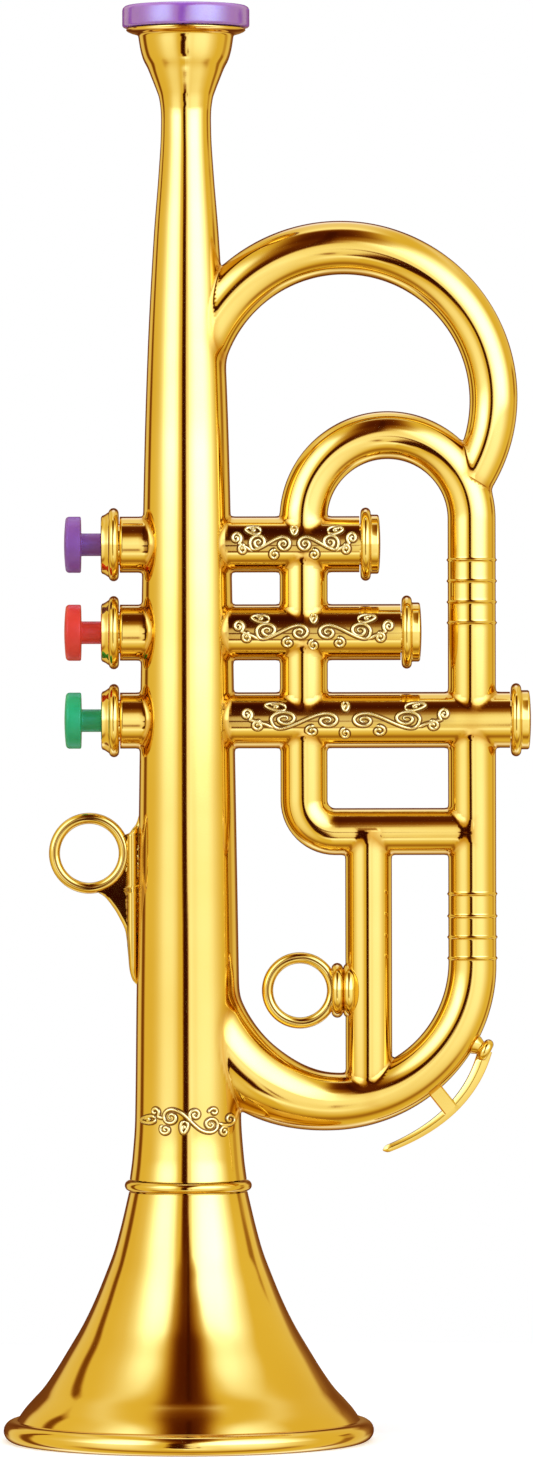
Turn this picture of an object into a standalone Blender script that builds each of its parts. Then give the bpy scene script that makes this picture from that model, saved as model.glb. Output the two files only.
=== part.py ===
"""Toy trumpet: a gold clamshell body, a flared bell, a mouth ring and three buttons that open reed valves."""
import math

import bmesh
import bpy
import numpy as np
from mathutils import Matrix

# Sizes are in metres. Heights run up from the floor, and reaches run out from the trunk's own axis.

# Walls and clearances
WALL = 0.0016
FIT_GAP = 0.0003
OVERRUN = 0.002
MERGE_DISTANCE = 0.000001

# Bell: shares of its height above the rim bead, and of the step from throat to mouth
BELL_MOUTH_RADIUS = 0.0448
BELL_THROAT_LEDGE = 0.0002
BELL_HEIGHT = 0.0638
BELL_NECK_LENGTH = 0.0100
RIM_BEAD_RADIUS = 0.0028
RIM_BEAD_SIDES = 12
BELL_FLARE_SHARES = (
    (0.0, 1.0),
    (0.085, 0.922),
    (0.23, 0.672),
    (0.335, 0.534),
    (0.441, 0.405),
    (0.546, 0.297),
    (0.65, 0.209),
    (0.755, 0.128),
    (0.86, 0.068),
    (1.0, 0.0),
)

# Collar that ties the bell's neck to the foot of the trunk
COLLAR_PROUD = 0.0013
COLLAR_THICKNESS = 0.0027

# Trunk: shares of its height from foot to waist, and of the step from waist to foot radius
TRUNK_FOOT_RADIUS = 0.0150
WAIST_RADIUS = 0.0064
WAIST_ABOVE_CROOK = 0.0718
TRUNK_TAPER_SHARES = (
    (0.0, 1.0),
    (0.02, 0.92),
    (0.056, 0.84),
    (0.17, 0.79),
    (0.4, 0.68),
    (0.57, 0.595),
    (0.69, 0.515),
    (0.785, 0.41),
    (0.89, 0.225),
    (0.95, 0.08),
    (1.0, 0.0),
)

# Mouthpiece cup: shares of its height above the waist, and of the step from waist to cup radius
CUP_RADIUS = 0.0123
CUP_HEIGHT = 0.0218
CUP_FLARE_SHARES = (
    (0.0, 0.0),
    (0.24, 0.085),
    (0.353, 0.22),
    (0.47, 0.39),
    (0.59, 0.568),
    (0.706, 0.78),
    (0.826, 0.9),
    (1.0, 1.0),
)
LIP_STEP = 0.0027
LIP_THICKNESS = 0.0013

# Mouth ring
MOUTH_RING_PROUD = 0.0013
MOUTH_RING_HEIGHT = 0.0056
MOUTH_RING_WALL = 0.0013
MOUTH_RING_SPIGOT = 0.0030
MOUTH_RING_ROUNDING = 0.0012

# Valve casings, from the top one down: how far each runs past the middle of the right tube
CASING_RADIUS = 0.0072
CASING_OVERHANGS = (-0.0288, -0.0183, 0.0097)
VALVE_PITCH = 0.02255
SLEEVE_REACH = 0.0172

# End caps of the casings
CAP_BEAD_PROUD = 0.0022
CAP_BEAD_THICKNESS = 0.0026
CAP_STEP_INSET = 0.0018
CAP_STEP_LENGTH = 0.0021
CAP_DOME_HEIGHT = 0.0004
CAP_SPIGOT_LENGTH = 0.0035

# Collars that guide the button stems
CONE_ROOT_INSET = 0.0010
CONE_TIP_INSET = 0.0020
CONE_LENGTH = 0.0019
GUIDE_SPIGOT_LENGTH = 0.0030

# Buttons
BUTTON_TRAVEL = 0.0045
BUTTON_PRESSED_GAP = 0.0007
BUTTON_RADIUS = 0.0072
BUTTON_THICKNESS = 0.0043
BUTTON_ROUNDING = 0.0009
STEM_RADIUS = 0.0029
STOP_FLANGE_GAP = 0.0010
STOP_FLANGE_THICKNESS = 0.0012
ROD_RADIUS = 0.0015
ROD_TIP_RADIUS = 0.0009
ROD_TIP_END = 0.0005
BUTTON_NAMES = ("purple", "red", "green")

# Return springs
SPRING_RADIUS = 0.0036
SPRING_WIRE_RADIUS = 0.0003
SPRING_TURNS = 4
SPRING_POINTS_PER_TURN = 8

# Reed carrier: a board across the trunk with one cell for each valve
BOARD_FACE = 0.0006
BOARD_THICKNESS = 0.0040
BOARD_SKIN = 0.0012
BOARD_MARGIN = 0.0010
BAFFLE_THICKNESS = 0.0032
CELL_RIB = 0.0020
CELL_WIDTH = 0.0074
CELL_BELOW_VALVE = 0.0037
PORT_RADIUS = 0.0030
SEAT_LIP_WALL = 0.0008
SEAT_LIP_HEIGHT = 0.0005
SPRING_BOSS_GAP = 0.0004
SPRING_BOSS_HEIGHT = 0.0008
WINDOW_WIDTH = 0.0032
WINDOW_MARGIN = 0.0013

# Reed plates, which lie between the springs
REED_PLATE_GAP = 0.0010
REED_PLATE_WIDTH = 0.0060
REED_PLATE_THICKNESS = 0.0008
REED_TONGUE_WIDTH = 0.0014
REED_TONGUE_MARGIN = 0.0006
REED_SLIT = 0.0003

# Valve pads and their clips
PAD_MARGIN = 0.0006
PAD_THICKNESS = 0.0015
CLIP_RADIUS = 0.0024
CLIP_THICKNESS = 0.0007

# Tubing in the plane of the valves
TUBE_RADIUS = 0.00615
CROSS_TUBE_RADIUS = 0.00603
MIDDLE_TUBE_RADIUS = 0.00598
TUBE_END_DRAW = 0.0003
TUBE_OVERLAP = 0.0015
LOOP_LEFT_REACH = 0.0299
LOOP_RADIUS = 0.02155
LOOP_ABOVE_VALVE = 0.0064
CROSS_TUBE_DROP = 0.0286
CROSS_BEND_RADIUS = 0.0080
CROOK_JOIN_ABOVE_LOOP = 0.0106
CROOK_DROP = 0.0202
CROOK_ROOT_REACH = 0.00105
CROOK_ROOT_RADIUS = 0.0075
CROOK_JOIN_RADIUS = 0.0059
CROOK_ROOT_ANGLE = math.radians(14)
BOW_ABOVE_FOOT = 0.0098
BOW_BELOW_CROSS_TUBE = 0.0337
BOW_LEFT_REACH = 0.0020
BOW_ROOT_RADIUS = 0.0100
BOW_SWEEP = math.radians(168)
BOW_SWELL_SHARES = ((0.0, 0.0), (0.3, 0.13), (0.536, 0.33), (0.744, 0.85), (0.89, 1.0), (1.0, 1.0))

# Locating pins inside the two half shells
LOCATOR_RADIUS = 0.0024
LOCATOR_PIN_RADIUS = 0.0012
LOCATOR_PIN_LENGTH = 0.0024

# Finger ring with its fin: shares of the ring's radius from the ring's middle, and of the rib's radius
FINGER_RING_RADIUS = 0.00895
FINGER_RING_WIRE = 0.00145
FINGER_RING_REACH = 0.0252
FINGER_RING_DROP = 0.0340
FIN_THICKNESS = 0.0030
FIN_DROP = 0.0340
FIN_RISE = 0.0086
FIN_TOP_SHARES = ((1.45, 1.0), (1.3, 0.78), (1.15, 0.72))
FIN_FOOT_SHARES = ((0.45, -0.98), (0.72, -1.35), (0.9, -1.75), (1.03, -2.2), (1.1, -2.8), (1.12, -3.4))
FIN_RIB_RADIUS = 0.0022
FIN_RIB_SHARES = (0.75, 1.0, 1.0, 0.9, 0.7, 0.35)

# Pull ring with its two beads
PULL_RING_RADIUS = 0.00835
PULL_RING_WIRE = 0.00160
PULL_RING_DROP = 0.0070
PULL_RING_GAP = 0.00382
PULL_RING_SINK = 0.0019
PULL_BEAD_RADIUS = 0.0070
PULL_BEAD_THICKNESS = 0.0030
PULL_BEAD_SINK = 0.0024

# Water key
KEY_POST_ANGLE = math.radians(51.6)
KEY_POST_WIDTH = 0.0039
KEY_POST_DEPTH = 0.0034
KEY_POST_LENGTH = 0.0064
KEY_KNOB_ANGLE = math.radians(30.2)
KEY_KNOB_RADIUS = 0.0031
KEY_KNOB_THICKNESS = 0.0026
KEY_NECK_RADIUS = 0.0024
KEY_NECK_LENGTH = 0.0018
KEY_LEVER_RADIUS = 0.0019
KEY_LEVER_STEPS = 9
KEY_TIP_RADIUS = 0.0009
KEY_TIP_ANGLE = math.radians(75.5)
KEY_TIP_STANDOFF = 0.0142

# How finely round forms are cut
TRUNK_SIDES = 24
TRUNK_BORE_SIDES = 14
BELL_SIDES = 32
CASING_SIDES = 16
RING_STEPS = 20
SMALL_SIDES = 12
LOCATOR_SIDES = 8
SKIN_BEVEL_RESOLUTION = 4
BORE_BEVEL_RESOLUTION = 1
SKIN_BEND_STEP = math.radians(18)
BORE_BEND_STEP = math.radians(30)
BEAD_STEPS = 3
WIRE_BEVEL_RESOLUTION = 2
SPRING_BEVEL_RESOLUTION = 0
SMOOTH_ANGLE = math.radians(35)

# Radii that follow from the sizes above
BELL_THROAT_RADIUS = TRUNK_FOOT_RADIUS + BELL_THROAT_LEDGE
COLLAR_RADIUS = TRUNK_FOOT_RADIUS + COLLAR_PROUD
LIP_RADIUS = CUP_RADIUS + LIP_STEP
MOUTH_RING_RADIUS = LIP_RADIUS + MOUTH_RING_PROUD
BORE_RADIUS = CASING_RADIUS - WALL
CAP_BEAD_RADIUS = CASING_RADIUS + CAP_BEAD_PROUD
SPRING_SPACE_RADIUS = SPRING_RADIUS + SPRING_WIRE_RADIUS + REED_PLATE_GAP
SEAT_LIP_RADIUS = PORT_RADIUS + SEAT_LIP_WALL

# Reaches that follow
PULL_BEADS_LENGTH = PULL_BEAD_THICKNESS + PULL_BEAD_THICKNESS
PULL_RING_SPAN = 2 * (PULL_RING_RADIUS + PULL_RING_WIRE)
PULL_BEADS_REACH = TRUNK_FOOT_RADIUS + PULL_RING_GAP + PULL_RING_SPAN - PULL_RING_SINK
MIDDLE_TUBE_REACH = PULL_BEADS_REACH + PULL_BEADS_LENGTH - PULL_BEAD_SINK + MIDDLE_TUBE_RADIUS
RIGHT_TUBE_REACH = LOOP_LEFT_REACH + LOOP_RADIUS + LOOP_RADIUS
CASING_REACHES = tuple(RIGHT_TUBE_REACH + overhang for overhang in CASING_OVERHANGS)
CAP_LENGTH = FIT_GAP + CAP_BEAD_THICKNESS + CAP_STEP_LENGTH + CAP_DOME_HEIGHT
RIM_REACH = BELL_MOUTH_RADIUS + RIM_BEAD_RADIUS * math.cos(math.pi / RIM_BEAD_SIDES)
TRUNK_PLACE = (RIM_REACH - max(CASING_REACHES) - CAP_LENGTH) / 2
BOW_RADIUS = (RIGHT_TUBE_REACH - BOW_LEFT_REACH) / 2
BOW_CENTRE_REACH = BOW_LEFT_REACH + BOW_RADIUS
CROOK_SPAN = RIGHT_TUBE_REACH - CROOK_ROOT_REACH
CROOK_RADIUS = (CROOK_SPAN**2 + CROOK_DROP**2) / (2 * CROOK_SPAN)
CROOK_CENTRE_REACH = CROOK_ROOT_REACH + CROOK_RADIUS
COLLAR_FACE = FIT_GAP + CAP_BEAD_THICKNESS + CONE_LENGTH
STOP_FLANGE_PLACE = -SLEEVE_REACH + GUIDE_SPIGOT_LENGTH + FIT_GAP
BOARD_BACK = BOARD_FACE - BOARD_THICKNESS
BOARD_MIDDLE = BOARD_FACE - BOARD_THICKNESS / 2
PAD_PLACE = BOARD_FACE + SEAT_LIP_HEIGHT + FIT_GAP

# Heights that follow, from the floor up
TRUNK_FOOT_HEIGHT = BELL_HEIGHT + FIT_GAP + COLLAR_THICKNESS + FIT_GAP
BOW_CENTRE_HEIGHT = TRUNK_FOOT_HEIGHT + BOW_ABOVE_FOOT + BOW_ROOT_RADIUS + BOW_RADIUS
PULL_RING_HEIGHT = BOW_CENTRE_HEIGHT - PULL_RING_DROP
CROSS_TUBE_HEIGHT = BOW_CENTRE_HEIGHT + BOW_BELOW_CROSS_TUBE
VALVE_HEIGHTS = tuple(CROSS_TUBE_HEIGHT + CROSS_TUBE_DROP + VALVE_PITCH * row for row in (2, 1, 0))
FINGER_RING_HEIGHT = VALVE_HEIGHTS[-1] - FINGER_RING_DROP
LOOP_CENTRE_HEIGHT = VALVE_HEIGHTS[0] + LOOP_ABOVE_VALVE
CROOK_CENTRE_HEIGHT = LOOP_CENTRE_HEIGHT + CROOK_JOIN_ABOVE_LOOP + CROOK_DROP
WAIST_HEIGHT = CROOK_CENTRE_HEIGHT + WAIST_ABOVE_CROOK
CUP_TOP_HEIGHT = WAIST_HEIGHT + CUP_HEIGHT
LIP_TOP_HEIGHT = CUP_TOP_HEIGHT + LIP_THICKNESS

# Heights of the reed plates above their valves, and of the windows behind them
REED_PLATE_HEIGHT = VALVE_PITCH - SPRING_SPACE_RADIUS - SPRING_SPACE_RADIUS
WINDOW_ABOVE_VALVE = SPRING_SPACE_RADIUS + WINDOW_MARGIN
WINDOW_HEIGHT = REED_PLATE_HEIGHT - WINDOW_MARGIN - WINDOW_MARGIN
REED_TONGUE_LENGTH = WINDOW_HEIGHT - REED_TONGUE_MARGIN - REED_TONGUE_MARGIN
REED_ROWS = VALVE_HEIGHTS + (VALVE_HEIGHTS[-1] - VALVE_PITCH,)


def clear_scene():
    for item in list(bpy.data.objects):
        bpy.data.objects.remove(item, do_unlink=True)


def material(name, colour, roughness, metallic):
    made = bpy.data.materials.new(name)
    made.use_nodes = True
    surface = made.node_tree.nodes["Principled BSDF"]
    surface.inputs["Base Color"].default_value = (*colour, 1)
    surface.inputs["Roughness"].default_value = roughness
    surface.inputs["Metallic"].default_value = metallic
    return made


def empty(name, place, parent=None):
    made = bpy.data.objects.new(name, None)
    made.location = place
    made.parent = parent
    bpy.context.scene.collection.objects.link(made)
    return made


def add(name, mesh, parent, finish=None, place=(0, 0, 0), turn=(0, 0, 0)):
    """Links a mesh as a named object; one with no finish is a guide for cuts and joins."""
    item = bpy.data.objects.new(name, mesh)
    item.parent = parent
    item.location = place
    item.rotation_euler = turn
    bpy.context.scene.collection.objects.link(item)
    mesh.shade_smooth()
    mesh.set_sharp_from_angle(angle=SMOOTH_ANGLE)
    if finish is None:
        item.hide_render = True
        item.display_type = "WIRE"
    else:
        mesh.materials.append(finish)
    return item


def combine(item, operation, *others, solver="EXACT"):
    for other in others:
        step = item.modifiers.new(f"{operation.lower()} {other.name}", "BOOLEAN")
        step.operation = operation
        step.solver = solver
        step.object = other
    return item


def weave(item, operation, *others):
    """Joins or cuts where many round forms cross, with the solver for closed meshes."""
    return combine(item, operation, *others, solver="MANIFOLD")


def smooth_curve(knots, places):
    """Monotone cubic through (place, value) knots, read at each of the places."""
    x, y = np.array(knots, float).T
    gaps = np.diff(x)
    slopes = np.diff(y) / gaps
    tangents = np.zeros(len(x))
    same_way = slopes[:-1] * slopes[1:] > 0
    inner = 2 * slopes[:-1] * slopes[1:] / np.where(same_way, slopes[:-1] + slopes[1:], 1)
    tangents[1:-1] = np.where(same_way, inner, 0)
    tangents[0] = slopes[0]
    tangents[-1] = slopes[-1]
    cell = np.clip(np.searchsorted(x, places, side="right") - 1, 0, len(gaps) - 1)
    t = (places - x[cell]) / gaps[cell]
    start = (1 + 2 * t) * (1 - t) ** 2 * y[cell] + t * (1 - t) ** 2 * gaps[cell] * tangents[cell]
    end = t**2 * (3 - 2 * t) * y[cell + 1] - t**2 * (1 - t) * gaps[cell] * tangents[cell + 1]
    return start + end


def arc(centre, radius, start, end, steps):
    angles = np.linspace(start, end, steps + 1)
    return [(centre[0] + radius * math.cos(a), centre[1] + radius * math.sin(a)) for a in angles]


def bend_steps(sweep, offset):
    """Steps of a bend: fine on a skin, coarse on a bore, whose offset is below zero."""
    return math.ceil(sweep / (BORE_BEND_STEP if offset < 0 else SKIN_BEND_STEP))


def tube_resolution(offset):
    return BORE_BEVEL_RESOLUTION if offset < 0 else SKIN_BEVEL_RESOLUTION


def store(shape, name):
    """Turns all faces outwards, writes the bmesh to a new mesh and frees it."""
    bmesh.ops.recalc_face_normals(shape, faces=shape.faces)
    if shape.calc_volume(signed=True) < 0:
        bmesh.ops.reverse_faces(shape, faces=shape.faces)
    mesh = bpy.data.meshes.new(name)
    shape.to_mesh(mesh)
    shape.free()
    return mesh


def lathe(name, outline, sides):
    """Turns a closed outline of (radius, height) points round the Z axis."""
    shape = bmesh.new()
    ring = [shape.verts.new((radius, 0, height)) for radius, height in outline]
    edges = [shape.edges.new(pair) for pair in zip(ring, ring[1:] + ring[:1])]
    bmesh.ops.spin(
        shape, geom=ring + edges, cent=(0, 0, 0), axis=(0, 0, 1), angle=math.tau, steps=sides, use_merge=True
    )
    bmesh.ops.remove_doubles(shape, verts=shape.verts, dist=MERGE_DISTANCE)
    on_axis = [e for e in shape.edges if not e.link_faces]
    bmesh.ops.delete(shape, geom=on_axis, context="EDGES")
    return store(shape, name)


def lathe_along_x(name, outline, sides):
    """Turns an outline of (radius, reach) points round the X axis."""
    mesh = lathe(name, outline, sides)
    mesh.transform(Matrix.Rotation(math.pi / 2, 4, "Y"))
    return mesh


def block(name, low, high):
    shape = bmesh.new()
    bmesh.ops.create_cube(shape, size=1)
    for vert in shape.verts:
        vert.co = [low[i] if vert.co[i] < 0 else high[i] for i in range(3)]
    return store(shape, name)


def plate(name, outline, half_depth):
    """Extrudes an outline of (reach, height) points to both sides of the parting plane."""
    shape = bmesh.new()
    ring = [shape.verts.new((reach, -half_depth, height)) for reach, height in outline]
    face = shape.faces.new(ring)
    grown = bmesh.ops.extrude_face_region(shape, geom=[face])
    moved = [v for v in grown["geom"] if isinstance(v, bmesh.types.BMVert)]
    bmesh.ops.translate(shape, verts=moved, vec=(0, half_depth * 2, 0))
    return store(shape, name)


def tube(name, points, radii, resolution, closed=False):
    """A round tube along (x, y, z) points, with a radius for each, as a mesh."""
    curve = bpy.data.curves.new(name, "CURVE")
    curve.dimensions = "3D"
    curve.bevel_depth = 1
    curve.bevel_resolution = resolution
    curve.use_fill_caps = not closed
    spline = curve.splines.new("POLY")
    spline.points.add(len(points) - 1)
    spline.use_cyclic_u = closed
    for point, place, radius in zip(spline.points, points, radii):
        point.co = (*place, 1)
        point.radius = radius
    draft = bpy.data.objects.new(name, curve)
    bpy.context.scene.collection.objects.link(draft)
    bpy.context.view_layer.update()
    mesh = bpy.data.meshes.new_from_object(draft.evaluated_get(bpy.context.evaluated_depsgraph_get()))
    bpy.data.objects.remove(draft, do_unlink=True)
    shape = bmesh.new()
    shape.from_mesh(mesh)
    bmesh.ops.remove_doubles(shape, verts=shape.verts, dist=MERGE_DISTANCE)
    return store(shape, name)


def in_plane(points):
    return [(reach, 0, height) for reach, height in points]


def bead(radius, start, thickness):
    """Half-round edge from reach start to start plus thickness, out to the radius."""
    half = thickness / 2
    return arc((radius - half, start + half), half, -math.pi / 2, math.pi / 2, BEAD_STEPS)


def taper(knots, base_height, height, base_radius, step):
    """Points of a turned surface from shares of a height and of a radius step."""
    rises, steps = np.array(knots).T
    return list(zip(base_radius + step * steps, base_height + height * rises))


def every_other(points):
    """Both ends and every second point between them, for an inner surface."""
    return points[:1] + points[1:-1:2] + points[-1:]


def trunk_surface(offset):
    """Outline from the foot of the trunk up to the top of the cup, moved out by the offset."""
    rise = WAIST_HEIGHT - TRUNK_FOOT_HEIGHT
    foot_step = TRUNK_FOOT_RADIUS - WAIST_RADIUS
    trunk = taper(TRUNK_TAPER_SHARES, TRUNK_FOOT_HEIGHT, rise, WAIST_RADIUS, foot_step)
    cup = taper(CUP_FLARE_SHARES, WAIST_HEIGHT, CUP_HEIGHT, WAIST_RADIUS, CUP_RADIUS - WAIST_RADIUS)
    if offset < 0:
        trunk, cup = every_other(trunk), every_other(cup)
    return [(radius + offset, height) for radius, height in trunk + cup[1:]]


def trunk_solid(name, offset=0):
    lip = [(LIP_RADIUS + offset, CUP_TOP_HEIGHT), (LIP_RADIUS + offset, LIP_TOP_HEIGHT), (0, LIP_TOP_HEIGHT)]
    return lathe(name, [(0, TRUNK_FOOT_HEIGHT)] + trunk_surface(offset) + lip, TRUNK_SIDES)


def trunk_bore(name, offset):
    """The air way inside the trunk, running out at the foot and at the cup's mouth."""
    surface = trunk_surface(offset - WALL)
    foot = [(0, TRUNK_FOOT_HEIGHT - OVERRUN), (surface[0][0], TRUNK_FOOT_HEIGHT - OVERRUN)]
    mouth = [(surface[-1][0], LIP_TOP_HEIGHT + OVERRUN), (0, LIP_TOP_HEIGHT + OVERRUN)]
    return lathe(name, foot + surface + mouth, TRUNK_BORE_SIDES)


def bore_fit(height):
    """Radius of a round piece that clears the flats of the trunk's bore at a height."""
    radii, heights = np.array(trunk_surface(-WALL)).T
    return float(np.interp(height, heights, radii)) * math.cos(math.pi / TRUNK_BORE_SIDES) - FIT_GAP


def long_tube(name, offset):
    """Left tube, tuning loop, right tube and lower bow as one centre line."""
    points = [(LOOP_LEFT_REACH, VALVE_HEIGHTS[-1] - TUBE_OVERLAP)]
    loop_centre = (LOOP_LEFT_REACH + LOOP_RADIUS, LOOP_CENTRE_HEIGHT)
    points += arc(loop_centre, LOOP_RADIUS, math.pi, 0, bend_steps(math.pi, offset))
    steps = bend_steps(BOW_SWEEP, offset)
    bow = arc((BOW_CENTRE_REACH, BOW_CENTRE_HEIGHT), BOW_RADIUS, 0, -BOW_SWEEP, steps)
    radii = [TUBE_RADIUS] * len(points) + list(bow_radii(np.linspace(0, BOW_SWEEP, steps + 1)))
    return tube(name, in_plane(points + bow), [r + offset for r in radii], tube_resolution(offset))


def bow_radii(angles):
    """The bow swells from the right tube's radius to its root in the trunk."""
    return TUBE_RADIUS + (BOW_ROOT_RADIUS - TUBE_RADIUS) * smooth_curve(BOW_SWELL_SHARES, angles / BOW_SWEEP)


def cross_tube(name, offset):
    """Tube that leaves the right tube, runs left under the casings and turns up into the lowest one."""
    start = (RIGHT_TUBE_REACH, CROSS_TUBE_HEIGHT)
    drawn = (RIGHT_TUBE_REACH - TUBE_RADIUS / 2, CROSS_TUBE_HEIGHT)
    centre = (LOOP_LEFT_REACH + CROSS_BEND_RADIUS, CROSS_TUBE_HEIGHT + CROSS_BEND_RADIUS)
    bend = arc(centre, CROSS_BEND_RADIUS, -math.pi / 2, -math.pi, bend_steps(math.pi / 2, offset))
    points = [start, drawn] + bend + [(LOOP_LEFT_REACH, VALVE_HEIGHTS[-1] + TUBE_OVERLAP)]
    radii = [CROSS_TUBE_RADIUS - TUBE_END_DRAW] + [CROSS_TUBE_RADIUS] * (len(points) - 1)
    return tube(name, in_plane(points), [r + offset for r in radii], tube_resolution(offset))


def middle_tube(name, offset):
    """Short tube from the cross tube down to the lower bow."""
    side_step = MIDDLE_TUBE_REACH - BOW_CENTRE_REACH
    foot = BOW_CENTRE_HEIGHT - math.sqrt(BOW_RADIUS**2 - side_step**2)
    heights = (CROSS_TUBE_HEIGHT, CROSS_TUBE_HEIGHT - CROSS_TUBE_RADIUS / 2, foot)
    radii = (MIDDLE_TUBE_RADIUS - TUBE_END_DRAW, MIDDLE_TUBE_RADIUS, MIDDLE_TUBE_RADIUS)
    points = [(MIDDLE_TUBE_REACH, height) for height in heights]
    return tube(name, in_plane(points), [r + offset for r in radii], tube_resolution(offset))


def crook_tube(name, offset):
    """Upper crook: its left end lies in the trunk and its right end meets the right tube."""
    start = math.pi - CROOK_ROOT_ANGLE
    end = -math.asin(CROOK_DROP / CROOK_RADIUS)
    steps = bend_steps(start - end, offset)
    points = arc((CROOK_CENTRE_REACH, CROOK_CENTRE_HEIGHT), CROOK_RADIUS, start, end, steps)
    radii = np.linspace(CROOK_ROOT_RADIUS, CROOK_JOIN_RADIUS, steps + 1) + offset
    return tube(name, in_plane(points), radii, tube_resolution(offset))


def rod_along_x(name, start, end, radius, sides=CASING_SIDES):
    return lathe_along_x(name, [(0, start), (radius, start), (radius, end), (0, end)], sides)


def half_shells(trunk, gold):
    """The two halves of the body: the whole hollow body is built as a guide and then parted."""
    body = add("guide_body", long_tube("guide_body", 0), trunk)
    makers = (cross_tube, middle_tube, crook_tube)
    outer = [add(f"guide_outer_{make.__name__}", make(make.__name__, 0), trunk) for make in makers]
    for index, (height, reach) in enumerate(zip(VALVE_HEIGHTS, CASING_REACHES), 1):
        casing = rod_along_x(f"casing_{index}", -SLEEVE_REACH, reach, CASING_RADIUS)
        outer.append(add(f"guide_casing_{index}", casing, trunk, place=(0, 0, height)))
    weave(body, "UNION", *outer)
    bores = [add(f"guide_bore_{make.__name__}", make(make.__name__, -WALL), trunk) for make in makers]
    bores.append(add("guide_bore_long_tube", long_tube("bore_long_tube", -WALL), trunk))
    for index, (height, reach) in enumerate(zip(VALVE_HEIGHTS, CASING_REACHES), 1):
        bore = rod_along_x(f"casing_bore_{index}", 0, reach + OVERRUN, BORE_RADIUS)
        bores.append(add(f"guide_casing_bore_{index}", bore, trunk, place=(0, 0, height)))
    weave(body, "DIFFERENCE", *bores)
    weave(body, "UNION", add("guide_trunk", trunk_solid("guide_trunk"), trunk))
    weave(body, "DIFFERENCE", add("guide_trunk_bore", trunk_bore("guide_trunk_bore", 0), trunk))
    for index, height in enumerate(VALVE_HEIGHTS, 1):
        sleeve = rod_along_x(f"sleeve_bore_{index}", -SLEEVE_REACH - OVERRUN, 0, BORE_RADIUS)
        weave(body, "DIFFERENCE", add(f"guide_sleeve_bore_{index}", sleeve, trunk, place=(0, 0, height)))
    for name, side in (("front_shell", -1), ("back_shell", 1)):
        shell = add(name, half_space(name, side), trunk, gold)
        weave(shell, "INTERSECT", body)
        add_locators(shell, side, trunk)


def half_space(name, side):
    """A block that holds everything on one side of the parting gap."""
    depth = LIP_RADIUS + OVERRUN
    near, far = sorted((side * FIT_GAP / 2, side * depth))
    right = max(CASING_REACHES) + OVERRUN
    return block(name, (-SLEEVE_REACH - OVERRUN, near, 0), (right, far, LIP_TOP_HEIGHT + OVERRUN))


def locator_places():
    """Reach and height of places where a bore leaves room for a boss, and the tube's radius there."""
    crook_radius = (CROOK_ROOT_RADIUS + CROOK_JOIN_RADIUS) / 2
    return (
        (CROOK_CENTRE_REACH, CROOK_CENTRE_HEIGHT + CROOK_RADIUS, crook_radius),
        (LOOP_LEFT_REACH + LOOP_RADIUS, LOOP_CENTRE_HEIGHT + LOOP_RADIUS, TUBE_RADIUS),
        (RIGHT_TUBE_REACH, (CROSS_TUBE_HEIGHT + BOW_CENTRE_HEIGHT) / 2, TUBE_RADIUS),
        (BOW_CENTRE_REACH, BOW_CENTRE_HEIGHT - BOW_RADIUS, float(bow_radii(math.pi / 2))),
    )


def add_locators(shell, side, trunk):
    """Bosses on both halves, with pins on the front one and sockets in the back one."""
    front = side < 0
    radius = LOCATOR_PIN_RADIUS if front else LOCATOR_PIN_RADIUS + FIT_GAP
    root = WALL if front else FIT_GAP / 2 - OVERRUN
    tip = -LOCATOR_PIN_LENGTH if front else LOCATOR_PIN_LENGTH + FIT_GAP
    pin = [(0, tip), (radius, tip), (radius, root), (0, root)]
    turn = (-side * math.pi / 2, 0, 0)
    for index, (reach, height, tube_radius) in enumerate(locator_places(), 1):
        depth = tube_radius - WALL / 2
        boss = [(0, FIT_GAP / 2), (LOCATOR_RADIUS, FIT_GAP / 2), (LOCATOR_RADIUS, depth), (0, depth)]
        for part, outline in (("boss", boss), ("pin", pin)):
            name = f"guide_{shell.name}_{part}_{index}"
            item = add(name, lathe(part, outline, LOCATOR_SIDES), trunk, None, (reach, 0, height), turn)
            weave(shell, "UNION" if front or part == "boss" else "DIFFERENCE", item)


def bell_outline():
    """Outer flare down to the rolled rim with its flat foot, and the inner flare back up."""
    bead_height = RIM_BEAD_RADIUS * math.cos(math.pi / RIM_BEAD_SIDES)
    rise = BELL_HEIGHT - bead_height
    step = BELL_MOUTH_RADIUS - BELL_THROAT_RADIUS
    outer = np.array(taper(BELL_FLARE_SHARES, bead_height, rise, BELL_THROAT_RADIUS, step))
    along = np.gradient(outer, axis=0)
    along /= np.linalg.norm(along, axis=1)[:, None]
    inner = outer + WALL * np.c_[-along[:, 1], along[:, 0]]
    centre = np.array((BELL_MOUTH_RADIUS, bead_height))
    clear = RIM_BEAD_RADIUS + WALL / 2
    outer = [tuple(p) for p in outer if np.hypot(*(p - centre)) > clear]
    inner = [tuple(p) for p in inner if np.hypot(*(p - centre)) > clear]
    half_side = math.pi / RIM_BEAD_SIDES
    rim = arc(centre, RIM_BEAD_RADIUS, math.pi / 2 - half_side, -math.pi - half_side, RIM_BEAD_SIDES - 3)
    return outer[::-1] + rim + every_other(inner[:-1])


def bell(trunk, gold):
    neck_top = BELL_HEIGHT + BELL_NECK_LENGTH
    root = bore_fit(TRUNK_FOOT_HEIGHT)
    tip = bore_fit(neck_top)
    neck = [(root - WALL, BELL_HEIGHT - WALL), (tip - WALL, neck_top), (tip, neck_top), (root, BELL_HEIGHT)]
    add("bell", lathe("bell", bell_outline() + neck, BELL_SIDES), trunk, gold)


def bell_collar(trunk, gold):
    inner = trunk_surface(-WALL)[0][0]
    base = BELL_HEIGHT + FIT_GAP
    outline = [(inner, base + COLLAR_THICKNESS), (inner, base)] + bead(COLLAR_RADIUS, base, COLLAR_THICKNESS)
    add("bell_collar", lathe("bell_collar", outline, TRUNK_SIDES), trunk, gold)


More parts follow.
